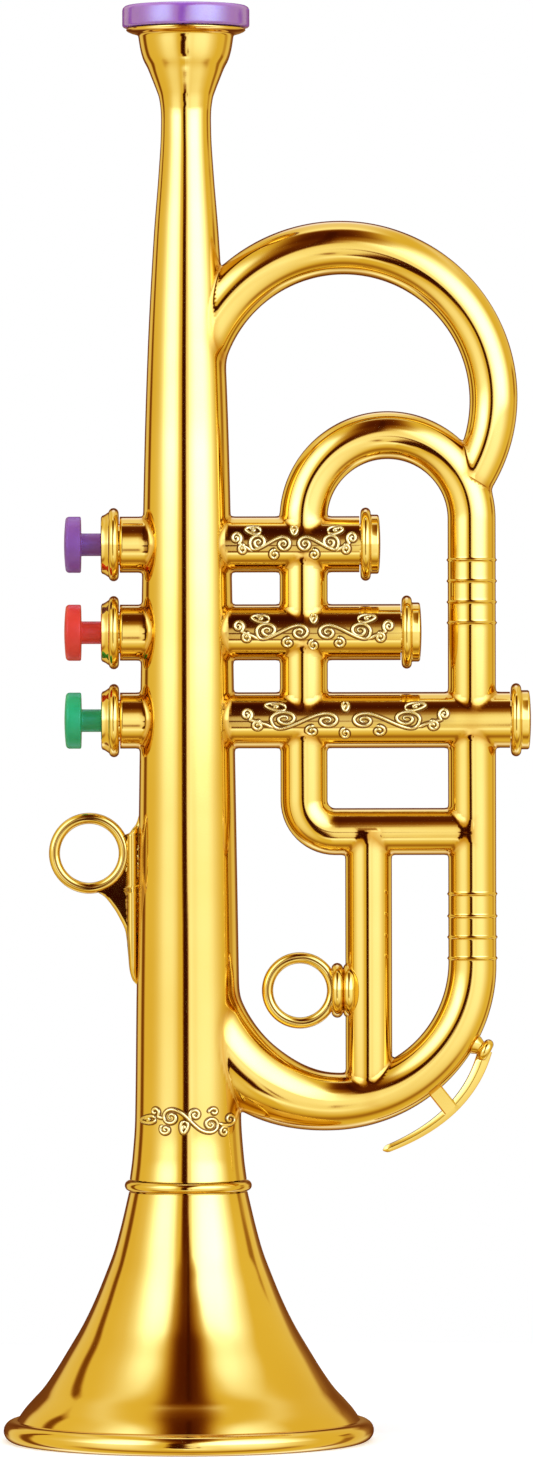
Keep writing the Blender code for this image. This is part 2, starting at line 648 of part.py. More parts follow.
def mouth_ring(trunk, plastic):
    """Ring with rounded edges and a spigot that sits in the cup's mouth."""
    outer = MOUTH_RING_RADIUS
    foot_height = LIP_TOP_HEIGHT - MOUTH_RING_SPIGOT
    spigot = bore_fit(foot_height)
    bore = spigot - MOUTH_RING_WALL
    base = LIP_TOP_HEIGHT + FIT_GAP
    top = base + MOUTH_RING_HEIGHT
    round_off = MOUTH_RING_ROUNDING
    low = arc((outer - round_off, base + round_off), round_off, -math.pi / 2, 0, BEAD_STEPS)
    high = arc((outer - round_off, top - round_off), round_off, 0, math.pi / 2, BEAD_STEPS)
    mouth_round = MOUTH_RING_HEIGHT / 2
    mouth = arc((bore + mouth_round, top - mouth_round), mouth_round, math.pi / 2, math.pi, BEAD_STEPS)
    foot = [(bore, foot_height), (spigot, foot_height), (bore_fit(CUP_TOP_HEIGHT), base)]
    add("mouth_ring", lathe("mouth_ring", low + high + mouth + foot, TRUNK_SIDES), trunk, plastic)


def end_caps(trunk, gold):
    """Hollow plugs with a bead, a step and a shallow dome, one in the right end of each casing."""
    spigot = BORE_RADIUS - FIT_GAP
    cup = spigot - WALL
    step_radius = CAP_BEAD_RADIUS - CAP_STEP_INSET
    step_end = FIT_GAP + CAP_BEAD_THICKNESS + CAP_STEP_LENGTH
    outline = [(0, CAP_BEAD_THICKNESS / 2), (cup, CAP_BEAD_THICKNESS / 2), (cup, -CAP_SPIGOT_LENGTH)]
    outline += [(spigot, -CAP_SPIGOT_LENGTH), (spigot, FIT_GAP)]
    outline += bead(CAP_BEAD_RADIUS, FIT_GAP, CAP_BEAD_THICKNESS)
    outline += [(step_radius, FIT_GAP + CAP_BEAD_THICKNESS), (step_radius, step_end - CAP_DOME_HEIGHT)]
    outline += [(step_radius - CAP_DOME_HEIGHT, step_end), (0, step_end + CAP_DOME_HEIGHT)]
    mesh = lathe_along_x("valve_end_cap", outline, CASING_SIDES)
    mesh.materials.append(gold)
    for index, (height, reach) in enumerate(zip(VALVE_HEIGHTS, CASING_REACHES), 1):
        add_shared(f"valve_end_cap_{index}", mesh, trunk, (reach, 0, height))


def add_shared(name, mesh, parent, place):
    """Another object on a mesh that already has its finish."""
    item = bpy.data.objects.new(name, mesh)
    item.parent = parent
    item.location = place
    bpy.context.scene.collection.objects.link(item)
    mesh.shade_smooth()
    mesh.set_sharp_from_angle(angle=SMOOTH_ANGLE)
    return item


def stem_collars(trunk, gold):
    """Guide collars: a spigot in the sleeve, a bead and a cone, bored for the button's stem."""
    spigot = BORE_RADIUS - FIT_GAP
    guide = STEM_RADIUS + FIT_GAP
    bead_end = FIT_GAP + CAP_BEAD_THICKNESS
    outline = [(guide, GUIDE_SPIGOT_LENGTH), (guide, -COLLAR_FACE)]
    outline.append((CAP_BEAD_RADIUS - CONE_TIP_INSET, -COLLAR_FACE))
    outline.append((CAP_BEAD_RADIUS - CONE_ROOT_INSET, -bead_end))
    outline += list(reversed(bead(CAP_BEAD_RADIUS, -bead_end, CAP_BEAD_THICKNESS)))[1:-1]
    outline += [(spigot, -FIT_GAP), (spigot, GUIDE_SPIGOT_LENGTH)]
    mesh = lathe_along_x("valve_collar", outline, CASING_SIDES)
    mesh.materials.append(gold)
    for index, height in enumerate(VALVE_HEIGHTS, 1):
        add_shared(f"valve_collar_{index}", mesh, trunk, (-SLEEVE_REACH, 0, height))


def button_outline():
    """Cap, stem, stop flange, valve rod and its thin tip, from left to right along the valve's axis."""
    cap_inner = -SLEEVE_REACH - COLLAR_FACE - BUTTON_PRESSED_GAP - BUTTON_TRAVEL
    cap_outer = cap_inner - BUTTON_THICKNESS
    flange_radius = BORE_RADIUS - STOP_FLANGE_GAP
    flange_end = STOP_FLANGE_PLACE + STOP_FLANGE_THICKNESS
    tip_end = PAD_PLACE + PAD_THICKNESS + FIT_GAP + CLIP_THICKNESS + ROD_TIP_END
    edge = BUTTON_ROUNDING
    outer = arc((BUTTON_RADIUS - edge, cap_outer + edge), edge, -math.pi / 2, 0, BEAD_STEPS)
    inner = arc((BUTTON_RADIUS - edge / 2, cap_inner - edge / 2), edge / 2, 0, math.pi / 2, 1)
    stem = [(STEM_RADIUS, cap_inner), (STEM_RADIUS, STOP_FLANGE_PLACE)]
    flange = [(flange_radius, STOP_FLANGE_PLACE), (flange_radius, flange_end), (ROD_RADIUS, flange_end)]
    shoulder = PAD_PLACE - FIT_GAP
    rod = [(ROD_RADIUS, shoulder), (ROD_TIP_RADIUS, shoulder), (ROD_TIP_RADIUS, tip_end)]
    return [(0, cap_outer)] + outer + inner + stem + flange + rod + [(0, tip_end)]


def keys(trunk, plastics, rubber, steel):
    """Each button slides on its valve's axis with the pad and clip that it carries."""
    button_mesh = button_outline()
    tip_bore = ROD_TIP_RADIUS + FIT_GAP
    pad_end = PAD_PLACE + PAD_THICKNESS
    pad_radius = SEAT_LIP_RADIUS + PAD_MARGIN
    pad = [(tip_bore, PAD_PLACE), (pad_radius, PAD_PLACE), (pad_radius, pad_end), (tip_bore, pad_end)]
    clip_start = pad_end + FIT_GAP
    clip_end = clip_start + CLIP_THICKNESS
    clip = [(tip_bore, clip_start), (CLIP_RADIUS, clip_start), (CLIP_RADIUS, clip_end), (tip_bore, clip_end)]
    for index, (colour, plastic, height) in enumerate(zip(BUTTON_NAMES, plastics, VALVE_HEIGHTS), 1):
        axis = empty(f"valve_axis_{index}", (0, 0, height), trunk)
        button = f"button_{colour}"
        add(button, lathe_along_x(button, button_mesh, CASING_SIDES), axis, plastic)
        add(f"valve_pad_{index}", lathe_along_x(f"valve_pad_{index}", pad, SMALL_SIDES), axis, rubber)
        add(f"pad_clip_{index}", lathe_along_x(f"pad_clip_{index}", clip, SMALL_SIDES), axis, steel)


def return_springs(trunk, steel):
    """Coils between the stop flange of each button and the board."""
    start = STOP_FLANGE_PLACE + STOP_FLANGE_THICKNESS + FIT_GAP + SPRING_WIRE_RADIUS
    end = BOARD_BACK - FIT_GAP - SPRING_WIRE_RADIUS
    count = SPRING_TURNS * SPRING_POINTS_PER_TURN
    shares = np.linspace(0, 1, count + 1)
    angles = shares * SPRING_TURNS * math.tau
    coil = SPRING_RADIUS * np.c_[np.cos(angles), np.sin(angles)]
    points = np.c_[start + (end - start) * shares, coil]
    clear = (end - start) / SPRING_TURNS - SPRING_WIRE_RADIUS - SPRING_WIRE_RADIUS
    print(f"least gap between the turns of a return spring: {clear:.5f} m")
    for index, height in enumerate(VALVE_HEIGHTS, 1):
        name = f"return_spring_{index}"
        wire = tube(name, points.tolist(), [SPRING_WIRE_RADIUS] * (count + 1), SPRING_BEVEL_RESOLUTION)
        add(name, wire, trunk, steel, place=(0, 0, height))


def reed_carrier(trunk, plastic):
    """Board with a valve cell, port, seat and reed window for each button, and a baffle at each end."""
    half_baffle = BAFFLE_THICKNESS / 2
    top = REED_ROWS[0] + SPRING_SPACE_RADIUS + REED_PLATE_HEIGHT + BOARD_MARGIN
    foot = REED_ROWS[-1] + SPRING_SPACE_RADIUS - BOARD_MARGIN - half_baffle
    wide = TRUNK_FOOT_RADIUS
    sheet = block("reed_carrier", (BOARD_BACK, -wide, foot), (BOARD_FACE, wide, top))
    board = add("reed_carrier", sheet, trunk, plastic)
    high = block("top_baffle", (BOARD_MIDDLE, -wide, top - half_baffle), (wide, wide, top + half_baffle))
    low = block("foot_baffle", (-wide, -wide, foot - half_baffle), (BOARD_MIDDLE, wide, foot + half_baffle))
    weave(board, "UNION", add("guide_top_baffle", high, trunk), add("guide_foot_baffle", low, trunk))
    weave(board, "INTERSECT", add("guide_carrier_bore", trunk_bore("guide_carrier_bore", -FIT_GAP), trunk))
    for index, height in enumerate(VALVE_HEIGHTS, 1):
        cut_valve_cell(board, trunk, index, height)
    window = reed_window("open_window", BOARD_FACE + OVERRUN)
    weave(board, "DIFFERENCE", add("guide_open_window", window, trunk, place=(0, 0, REED_ROWS[-1])))


def reed_window(name, depth):
    """Cutter behind a reed plate, from the back of the board in to the depth."""
    half = WINDOW_WIDTH / 2
    low = (BOARD_BACK - OVERRUN, -half, WINDOW_ABOVE_VALVE)
    return block(name, low, (depth, half, WINDOW_ABOVE_VALVE + WINDOW_HEIGHT))


def cut_valve_cell(board, trunk, index, height):
    """Adds the seat lip and the spring boss, then cuts the cell, port, rod guide and reed window."""
    lip_face = BOARD_FACE + SEAT_LIP_HEIGHT
    boss_face = BOARD_BACK - SPRING_BOSS_HEIGHT
    boss_radius = SPRING_RADIUS - SPRING_WIRE_RADIUS - SPRING_BOSS_GAP
    lip = rod_along_x("seat_lip", BOARD_FACE - BOARD_SKIN / 2, lip_face, SEAT_LIP_RADIUS, SMALL_SIDES)
    boss = rod_along_x("spring_boss", boss_face, BOARD_BACK + BOARD_SKIN / 2, boss_radius, SMALL_SIDES)
    port = rod_along_x("port", BOARD_MIDDLE, lip_face + OVERRUN, PORT_RADIUS, SMALL_SIDES)
    guide = rod_along_x("rod_guide", boss_face - OVERRUN, BOARD_MIDDLE, ROD_RADIUS + FIT_GAP, SMALL_SIDES)
    half = CELL_WIDTH / 2
    low = (BOARD_BACK + BOARD_SKIN, -half, -CELL_BELOW_VALVE)
    cell = block("cell", low, (BOARD_FACE - BOARD_SKIN, half, VALVE_PITCH - CELL_RIB - CELL_BELOW_VALVE))
    window = reed_window("reed_window", BOARD_MIDDLE)
    for mesh in (lip, boss):
        weave(board, "UNION", add(f"guide_{mesh.name}_{index}", mesh, trunk, place=(0, 0, height)))
    for mesh in (cell, port, guide, window):
        weave(board, "DIFFERENCE", add(f"guide_{mesh.name}_{index}", mesh, trunk, place=(0, 0, height)))


def reed_plates(trunk, brass):
    """Brass plates over the windows, each with a tongue freed by a U-shaped slit."""
    face = BOARD_BACK - FIT_GAP
    back = face - REED_PLATE_THICKNESS
    half = REED_PLATE_WIDTH / 2
    for index, row in enumerate(REED_ROWS, 1):
        name = f"reed_plate_{index}"
        sheet = block(name, (back, -half, 0), (face, half, REED_PLATE_HEIGHT))
        slit = reed_slit(f"reed_slit_{index}", back - OVERRUN, face + OVERRUN)
        place = (0, 0, row + SPRING_SPACE_RADIUS)
        item = add(name, sheet, trunk, brass, place)
        combine(item, "DIFFERENCE", add(f"guide_{slit.name}", slit, trunk, place=place))


def reed_slit(name, low, high):
    """U-shaped cutter round the sides and the free end of a tongue."""
    inside = REED_TONGUE_WIDTH / 2
    outside = inside + REED_SLIT
    foot = (REED_PLATE_HEIGHT - REED_TONGUE_LENGTH) / 2
    top = foot + REED_TONGUE_LENGTH
    half_u = [(inside, foot), (inside, top), (outside, top), (outside, foot - REED_SLIT)]
    outline = half_u + [(-side, height) for side, height in reversed(half_u)]
    shape = bmesh.new()
    ring = [shape.verts.new((low, side, height)) for side, height in outline]
    grown = bmesh.ops.extrude_face_region(shape, geom=[shape.faces.new(ring)])
    moved = [v for v in grown["geom"] if isinstance(v, bmesh.types.BMVert)]
    bmesh.ops.translate(shape, verts=moved, vec=(high - low, 0, 0))
    return store(shape, name)


def wire_ring(name, radius, wire):
    """A round ring of wire in the plane of the tubing."""
    points = arc((0, 0), radius, 0, math.tau, RING_STEPS)[:-1]
    return tube(name, in_plane(points), [wire] * len(points), WIRE_BEVEL_RESOLUTION, closed=True)


def finger_ring(trunk, gold):
    """Ring at the left of the trunk on a ribbed fin that tapers down into the trunk."""
    centre = (-FINGER_RING_REACH, FINGER_RING_HEIGHT)
    ring = wire_ring("finger_ring", FINGER_RING_RADIUS, FINGER_RING_WIRE)
    item = add("finger_ring", ring, trunk, gold, (centre[0], 0, centre[1]))
    fin = plate("fin", fin_outline(), FIN_THICKNESS / 2)
    rib_reach = FIN_RIB_RADIUS - FINGER_RING_REACH + FINGER_RING_RADIUS + FINGER_RING_WIRE
    rib_ends = (FINGER_RING_HEIGHT + FIN_RISE / 2, FINGER_RING_HEIGHT - FIN_DROP)
    rib_points = [(rib_reach, height) for height in np.linspace(*rib_ends, len(FIN_RIB_SHARES))]
    rib_radii = FIN_RIB_RADIUS * np.array(FIN_RIB_SHARES)
    rib = tube("fin_rib", in_plane(rib_points), rib_radii, WIRE_BEVEL_RESOLUTION)
    clearance = add("guide_trunk_clearance", trunk_solid("trunk_clearance", FIT_GAP), trunk)
    combine(item, "UNION", add("guide_fin", fin, trunk), add("guide_fin_rib", rib, trunk))
    combine(item, "DIFFERENCE", clearance)


def fin_outline():
    """Corners of the fin: down its hollow lower edge, up inside the trunk and back along the top."""
    left = -FINGER_RING_REACH
    centre = FINGER_RING_HEIGHT
    ring = FINGER_RING_RADIUS
    inside = -WAIST_RADIUS
    lower = [(left + ring * across, centre + ring * up) for across, up in FIN_FOOT_SHARES]
    upper = [(left + ring * across, centre + ring * up) for across, up in FIN_TOP_SHARES]
    trunk_side = [(inside, centre - FIN_DROP), (inside, centre + FIN_RISE)]
    return lower + trunk_side + upper + [(left + ring, centre)]


def pull_ring(trunk, gold):
    """Ring at the left of the middle tube, on two beads that seat on the tube."""
    centre = PULL_BEADS_REACH + PULL_RING_SINK - PULL_RING_SPAN / 2
    ring = wire_ring("pull_ring", PULL_RING_RADIUS, PULL_RING_WIRE)
    item = add("pull_ring", ring, trunk, gold, (centre, 0, PULL_RING_HEIGHT))
    outline = [(0, PULL_BEADS_REACH)] + bead(PULL_BEAD_RADIUS, PULL_BEADS_REACH, PULL_BEAD_THICKNESS)
    outline += bead(PULL_BEAD_RADIUS, PULL_BEADS_REACH + PULL_BEAD_THICKNESS, PULL_BEAD_THICKNESS)[1:]
    outline.append((0, PULL_BEADS_REACH + PULL_BEADS_LENGTH))
    beads = lathe_along_x("pull_beads", outline, SMALL_SIDES)
    combine(item, "UNION", add("guide_pull_beads", beads, trunk, place=(0, 0, PULL_RING_HEIGHT)))
    clearance = middle_tube("middle_clearance", FIT_GAP)
    combine(item, "DIFFERENCE", add("guide_middle_clearance", clearance, trunk))


def bow_point(angle, distance):
    return (BOW_CENTRE_REACH + distance * math.cos(angle), BOW_CENTRE_HEIGHT - distance * math.sin(angle))


def water_key(trunk, gold):
    """Fixed key under the bow: a capped neck, a curved lever and the post that carries it."""
    surface = BOW_RADIUS + TUBE_RADIUS
    knob_middle = surface + KEY_NECK_LENGTH + KEY_KNOB_THICKNESS / 2
    lever_start = bow_point(KEY_KNOB_ANGLE, knob_middle)
    lever_middle = bow_point(KEY_POST_ANGLE, surface + KEY_POST_LENGTH)
    lever_end = bow_point(KEY_TIP_ANGLE, BOW_RADIUS + KEY_TIP_STANDOFF)
    shares = np.linspace(0, 1, KEY_LEVER_STEPS + 1)[:, None]
    pull = 2 * np.array(lever_middle) - (np.array(lever_start) + np.array(lever_end)) / 2
    curve = (1 - shares) ** 2 * lever_start + 2 * shares * (1 - shares) * pull + shares**2 * lever_end
    radii = KEY_LEVER_RADIUS + (KEY_TIP_RADIUS - KEY_LEVER_RADIUS) * shares[:, 0]
    lever = tube("water_key", in_plane(curve.tolist()), radii, WIRE_BEVEL_RESOLUTION)
    item = add("water_key", lever, trunk, gold)
    half = KEY_POST_WIDTH / 2
    deep = KEY_POST_DEPTH / 2
    post = block("post", (BOW_RADIUS, -deep, -half), (surface + KEY_POST_LENGTH, deep, half))
    place = (BOW_CENTRE_REACH, 0, BOW_CENTRE_HEIGHT)
    post_item = add("guide_key_post", post, trunk, None, place, (0, KEY_POST_ANGLE, 0))
    knob_start = surface + KEY_NECK_LENGTH
    knob = [(0, BOW_RADIUS), (KEY_NECK_RADIUS, BOW_RADIUS), (KEY_NECK_RADIUS, knob_start)]
    knob += bead(KEY_KNOB_RADIUS, knob_start, KEY_KNOB_THICKNESS) + [(0, knob_start + KEY_KNOB_THICKNESS)]
    knob_mesh = lathe_along_x("knob", knob, SMALL_SIDES)
    knob_item = add("guide_key_knob", knob_mesh, trunk, None, place, (0, KEY_KNOB_ANGLE, 0))
    combine(item, "UNION", post_item, knob_item)
    combine(item, "DIFFERENCE", add("guide_bow_clearance", long_tube("bow_clearance", FIT_GAP), trunk))


def build():
    clear_scene()
    gold = material("gold_plating", (0.83, 0.57, 0.13), 0.18, 1)
    mouth_plastic = material("violet_plastic", (0.42, 0.16, 0.68), 0.25, 0)
    colours = ((0.24, 0.09, 0.40), (0.78, 0.05, 0.05), (0.01, 0.45, 0.16))
    button_plastics = [material(f"{name}_plastic", rgb, 0.35, 0) for name, rgb in zip(BUTTON_NAMES, colours)]
    carrier_plastic = material("ivory_plastic", (0.72, 0.68, 0.58), 0.5, 0)
    brass = material("reed_brass", (0.72, 0.52, 0.22), 0.3, 1)
    steel = material("spring_steel", (0.6, 0.6, 0.62), 0.3, 1)
    rubber = material("pad_rubber", (0.05, 0.05, 0.05), 0.8, 0)
    trunk = empty("trunk_axis", (TRUNK_PLACE, 0, 0))
    half_shells(trunk, gold)
    bell(trunk, gold)
    bell_collar(trunk, gold)
    mouth_ring(trunk, mouth_plastic)
    end_caps(trunk, gold)
    stem_collars(trunk, gold)
    keys(trunk, button_plastics, rubber, steel)
    return_springs(trunk, steel)
    reed_carrier(trunk, carrier_plastic)
    reed_plates(trunk, brass)
    finger_ring(trunk, gold)
    pull_ring(trunk, gold)
    water_key(trunk, gold)


build()
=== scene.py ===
import math

import bpy
import numpy as np
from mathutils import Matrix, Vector


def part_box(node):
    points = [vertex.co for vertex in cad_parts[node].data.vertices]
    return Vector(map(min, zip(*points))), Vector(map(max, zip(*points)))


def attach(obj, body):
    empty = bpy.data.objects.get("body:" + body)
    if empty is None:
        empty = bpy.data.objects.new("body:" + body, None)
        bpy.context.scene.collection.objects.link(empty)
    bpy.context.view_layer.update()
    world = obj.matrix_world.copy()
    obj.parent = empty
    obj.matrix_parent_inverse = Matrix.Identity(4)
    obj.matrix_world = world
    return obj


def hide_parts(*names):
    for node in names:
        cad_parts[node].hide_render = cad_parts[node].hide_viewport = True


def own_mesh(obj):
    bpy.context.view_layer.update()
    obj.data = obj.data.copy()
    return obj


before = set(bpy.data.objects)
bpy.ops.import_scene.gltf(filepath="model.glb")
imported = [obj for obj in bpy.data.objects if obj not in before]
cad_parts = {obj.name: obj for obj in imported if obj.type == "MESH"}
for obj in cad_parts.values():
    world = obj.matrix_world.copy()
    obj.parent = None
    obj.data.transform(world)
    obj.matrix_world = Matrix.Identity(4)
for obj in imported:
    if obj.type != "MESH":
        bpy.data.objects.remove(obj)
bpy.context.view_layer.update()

# Sizes below are in millimetres. x runs out from the trunk's own axis and z up from the floor.
mm = 0.001
bellLow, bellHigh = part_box("bell")
axisPlace = np.array([(bellLow.x + bellHigh.x) / 2, 0, 0])
sharpAngle = 38  # degrees between two faces from which their edge stays sharp


def pick(table, names):
    # several values of a dictionary at once
    return [table[name] for name in names.split()]


def blend(start, end, share):
    return start + (end - start) * share


def rising(value, start, width):
    # 0 up to the start, 1 from a width beyond it
    return np.clip((value - start) / width, 0, 1)


def falling(value, end, width):
    # 1 until a width before the end, 0 beyond it
    return np.clip((end - value) / width, 0, 1)


def hump(value, middle, width, power=2):
    return np.exp(-(np.abs(value - middle) / width) ** power)


# grids of points and the meshes made of them

def smoothCurve(knots, places):
    # monotone cubic through (place, value) knots: it never swings past a knot
    x, y = np.array(knots, float).T
    gap = np.diff(x)
    slope = np.diff(y) / gap
    tangent = np.zeros(len(x))
    both = slope[:-1] * slope[1:] > 0
    total = np.where(both, slope[:-1] + slope[1:], 1)
    tangent[1:-1] = np.where(both, 2 * slope[:-1] * slope[1:] / total, 0)
    tangent[0], tangent[-1] = slope[0], slope[-1]
    cell = np.clip(np.searchsorted(x, places, side="right") - 1, 0, len(gap) - 1)
    t = (places - x[cell]) / gap[cell]
    start = (1 + 2 * t) * (1 - t) ** 2 * y[cell] + t * (1 - t) ** 2 * gap[cell] * tangent[cell]
    end = t ** 2 * (3 - 2 * t) * y[cell + 1] - t ** 2 * (1 - t) * gap[cell] * tangent[cell + 1]
    return start + end


def arcPoints(centreX, centreZ, radius, fromDegrees, toDegrees, count):
    # points on a circle: centre plus radius times cosine and sine of an even run of angles
    a = np.radians(np.linspace(fromDegrees, toDegrees, count))
    return np.c_[centreX + radius * np.cos(a), centreZ + radius * np.sin(a)]


def arcAlong(along, radius, bend, fromDegrees, toDegrees, count):
    # the same arc as (radius, distance) pairs of a profile that is turned about x
    return arcPoints(along, radius, bend, fromDegrees, toDegrees, count)[:, ::-1]


def upright(x, z):
    return np.c_[np.full(len(z), x), z]


def fullTurn(count):
    return np.linspace(0, 2 * np.pi, count, endpoint=False)


def unitSteps(line):
    # the direction of a line at each of its points
    step = np.gradient(line, axis=0)
    return step / np.linalg.norm(step, axis=1)[:, None]


def evenRun(start, end, step):
    return np.linspace(start, end, max(2, int(round(abs(end - start) / step)) + 1))


def gridQuads(rows, columns, closedRows):
    # four corners of each cell of a grid whose columns close on themselves
    r = np.arange(rows if closedRows else rows - 1)[:, None]
    c = np.arange(columns)[None, :]
    nextRow, nextColumn = (r + 1) % rows, (c + 1) % columns
    corners = [r * columns + c, r * columns + nextColumn, nextRow * columns + nextColumn, nextRow * columns + c]
    return np.stack([np.broadcast_to(k, (len(r), columns)) for k in corners], -1).reshape(-1, 4)


def closedSurface(rows, closedRows=False):
    # rows of points, each a closed loop; open ends get a middle point and a fan of triangles
    count, columns = rows.shape[:2]
    points = rows.reshape(-1, 3)
    quads = gridQuads(count, columns, closedRows)
    tris = np.zeros((0, 3), int)
    if not closedRows:
        c = np.arange(columns)
        first, last = len(points), len(points) + 1
        points = np.vstack([points, rows[0].mean(0), rows[-1].mean(0)])
        low = np.c_[np.full(columns, first), (c + 1) % columns, c]
        base = (count - 1) * columns
        high = np.c_[np.full(columns, last), base + c, base + (c + 1) % columns]
        tris = np.vstack([low, high])
    return points, quads, tris


def facingOut(points, quads, tris):
    # the signed volume of all faces is below zero when they point inwards, and then each is turned round
    a, b, c, d = (points[quads[:, k]] for k in range(4))
    volume = np.einsum("ij,ij->", a, np.cross(b, c)) + np.einsum("ij,ij->", a, np.cross(c, d))
    if len(tris):
        e, f, g = (points[tris[:, k]] for k in range(3))
        volume += np.einsum("ij,ij->", e, np.cross(f, g))
    return (quads[:, ::-1], tris[:, ::-1]) if volume < 0 else (quads, tris)


def meshFrom(name, *surfaces):
    # closed surfaces in one mesh, in metres in the frame
    allPoints, corners, sizes, offset = [], [], [], 0
    for points, quads, tris in surfaces:
        quads, tris = facingOut(points, quads, tris)
        allPoints.append(points * mm + axisPlace)
        corners += [quads.ravel() + offset, tris.ravel() + offset]
        sizes += [np.full(len(quads), 4), np.full(len(tris), 3)]
        offset += len(points)
    allPoints, corners, sizes = np.vstack(allPoints), np.concatenate(corners), np.concatenate(sizes)
    mesh = bpy.data.meshes.new(name)
    mesh.vertices.add(len(allPoints))
    mesh.vertices.foreach_set("co", allPoints.astype(np.float32).ravel())
    mesh.loops.add(len(corners))
    mesh.loops.foreach_set("vertex_index", corners.astype(np.int32))
    mesh.polygons.add(len(sizes))
    mesh.polygons.foreach_set("loop_start", np.r_[0, np.cumsum(sizes)[:-1]].astype(np.int32))
    mesh.update(calc_edges=True)
    mesh.validate()
    return mesh


def turned(profile, sides, axis="z", place=0.0):
    # a profile of (radius, distance) carried round an axis: radius times cosine and sine of the turn
    a = fullTurn(sides)
    r, along = profile[:, :1], np.repeat(profile[:, 1:], sides, axis=1)
    u, v = r * np.cos(a), r * np.sin(a)
    if axis == "z":
        return np.stack([u, v, along], -1)
    return np.stack([along, u, v + place], -1)


def turnedSolid(profile, sides, axis="z", place=0.0):
    # end points on the axis become the poles of the fans
    profile = np.array(profile, float)
    inner = profile[profile[:, 0] > 1e-6]
    rows = turned(inner, sides, axis, place)
    points, quads, tris = closedSurface(rows)
    for pole, end in ((-2, 0), (-1, -1)):
        points[pole] = (0, 0, profile[end, 1]) if axis == "z" else (profile[end, 1], 0, place)
    return points, quads, tris


def turnedRing(profile, sides, axis="z", place=0.0):
    return closedSurface(turned(np.array(profile, float), sides, axis, place), closedRows=True)


def swept(path, across, depth):
    # sections square to a line in the plane of the tubing: across lies in that plane, depth points out of it
    step = unitSteps(path)
    side = np.c_[-step[:, 1], step[:, 0]]
    x = path[:, :1] + across * side[:, :1]
    z = path[:, 1:] + across * side[:, 1:]
    return np.stack([x, depth * np.ones_like(x), z], -1)


def alongPath(path, radii, sides):
    # circles: middle plus radius times (cosine * side + sine * depth)
    a = fullTurn(sides)
    radii = np.broadcast_to(radii, len(path))[:, None]
    return swept(path, radii * np.cos(a), radii * np.sin(a))


def dropRepeats(path):
    return path[np.r_[True, np.linalg.norm(np.diff(path, axis=0), axis=1) > 1e-6]]


# materials

def newMaterial(name):
    made = bpy.data.materials.new(name)
    made.use_nodes = True
    return made, made.node_tree, made.node_tree.nodes["Principled BSDF"]


def feed(tree, node, inputs):
    # a socket of another node is linked, any other value is set
    for socket, value in inputs.items():
        if isinstance(value, bpy.types.NodeSocket):
            tree.links.new(value, node.inputs[socket])
        else:
            node.inputs[socket].default_value = value


def addNode(tree, kind, inputs={}, **settings):
    node = tree.nodes.new(kind)
    for name, value in settings.items():
        setattr(node, name, value)
    feed(tree, node, inputs)
    return node.outputs


def objectPlace(tree):
    return addNode(tree, "ShaderNodeTexCoord")["Object"]


def noiseNode(tree, where, scale, detail=2.0, roughness=0.5):
    inputs = {"Vector": where, "Scale": scale, "Detail": detail, "Roughness": roughness}
    return addNode(tree, "ShaderNodeTexNoise", inputs)["Fac"]


def rangeNode(tree, value, low, high, fromLow=0.3, fromHigh=0.7):
    inputs = {"Value": value, "From Min": fromLow, "From Max": fromHigh, "To Min": low, "To Max": high}
    return addNode(tree, "ShaderNodeMapRange", inputs)["Result"]


def mixColour(tree, factor, *colours):
    first, second = ((*colour, 1) if isinstance(colour, tuple) else colour for colour in colours)
    return addNode(tree, "ShaderNodeMix", {"Factor": factor, 6: first, 7: second}, data_type="RGBA")[2]


def bumpNode(tree, height, strength, distance, **below):
    inputs = {"Height": height, "Strength": strength, "Distance": distance, **below}
    return addNode(tree, "ShaderNodeBump", inputs)["Normal"]


# the corner colour and the one after it are painted shade: the first in the corners where forms meet, the second on
# the scroll ground, along ring grooves and in the fin's hollow
goldLook = dict(
    bright=(0.80, 0.51, 0.07), deep=(0.75, 0.455, 0.05), corner=(0.60, 0.27, 0.016),
    deepPaintedShade=(0.27, 0.095, 0.004), roughness=(0.045, 0.08), lacquer=0.12, lacquerRoughness=0.04,
    patchScale=28.0, smearScale=160.0, waveScale=70.0, grainScale=2600.0,
    waveDepth=0.00002, grainDepth=0.0000015,
)


def goldMaterial(name, withPaintedShade=False, look=goldLook):
    # metallised plastic: a bright film under tinted lacquer; with the shading option on, point attributes mix in two
    # darker colours that are painted shade: in corners where forms meet, on the scroll ground, in grooves and hollows
    made, tree, surface = newMaterial(name)
    where = objectPlace(tree)
    patches = rangeNode(tree, noiseNode(tree, where, look["patchScale"], 3), 0, 1)
    colour = mixColour(tree, patches, look["bright"], look["deep"])
    if withPaintedShade:
        # painted shade: each attribute mixes the gold towards one of the darker colours
        for paintedShade in ("corner", "deepPaintedShade"):
            strength = addNode(tree, "ShaderNodeAttribute", attribute_name=paintedShade)["Fac"]
            colour = mixColour(tree, strength, colour, look[paintedShade])
    smears = noiseNode(tree, where, look["smearScale"], 4, 0.6)
    waves = bumpNode(tree, noiseNode(tree, where, look["waveScale"], 1), 1.0, look["waveDepth"])
    grain = noiseNode(tree, where, look["grainScale"], 2)
    feed(tree, surface, {
        "Base Color": colour, "Roughness": rangeNode(tree, smears, *look["roughness"]), "Metallic": 1,
        "Normal": bumpNode(tree, grain, 1.0, look["grainDepth"], Normal=waves),
        "Coat Weight": look["lacquer"], "Coat Roughness": look["lacquerRoughness"]})
    return made


plasticLook = dict(cloudScale=210, rubbedScale=700, rubbed=(-0.05, 0.07), grainScale=3200, grainStrength=0.6,
                   grainDepth=0.000012, glowDepth=0.0012)


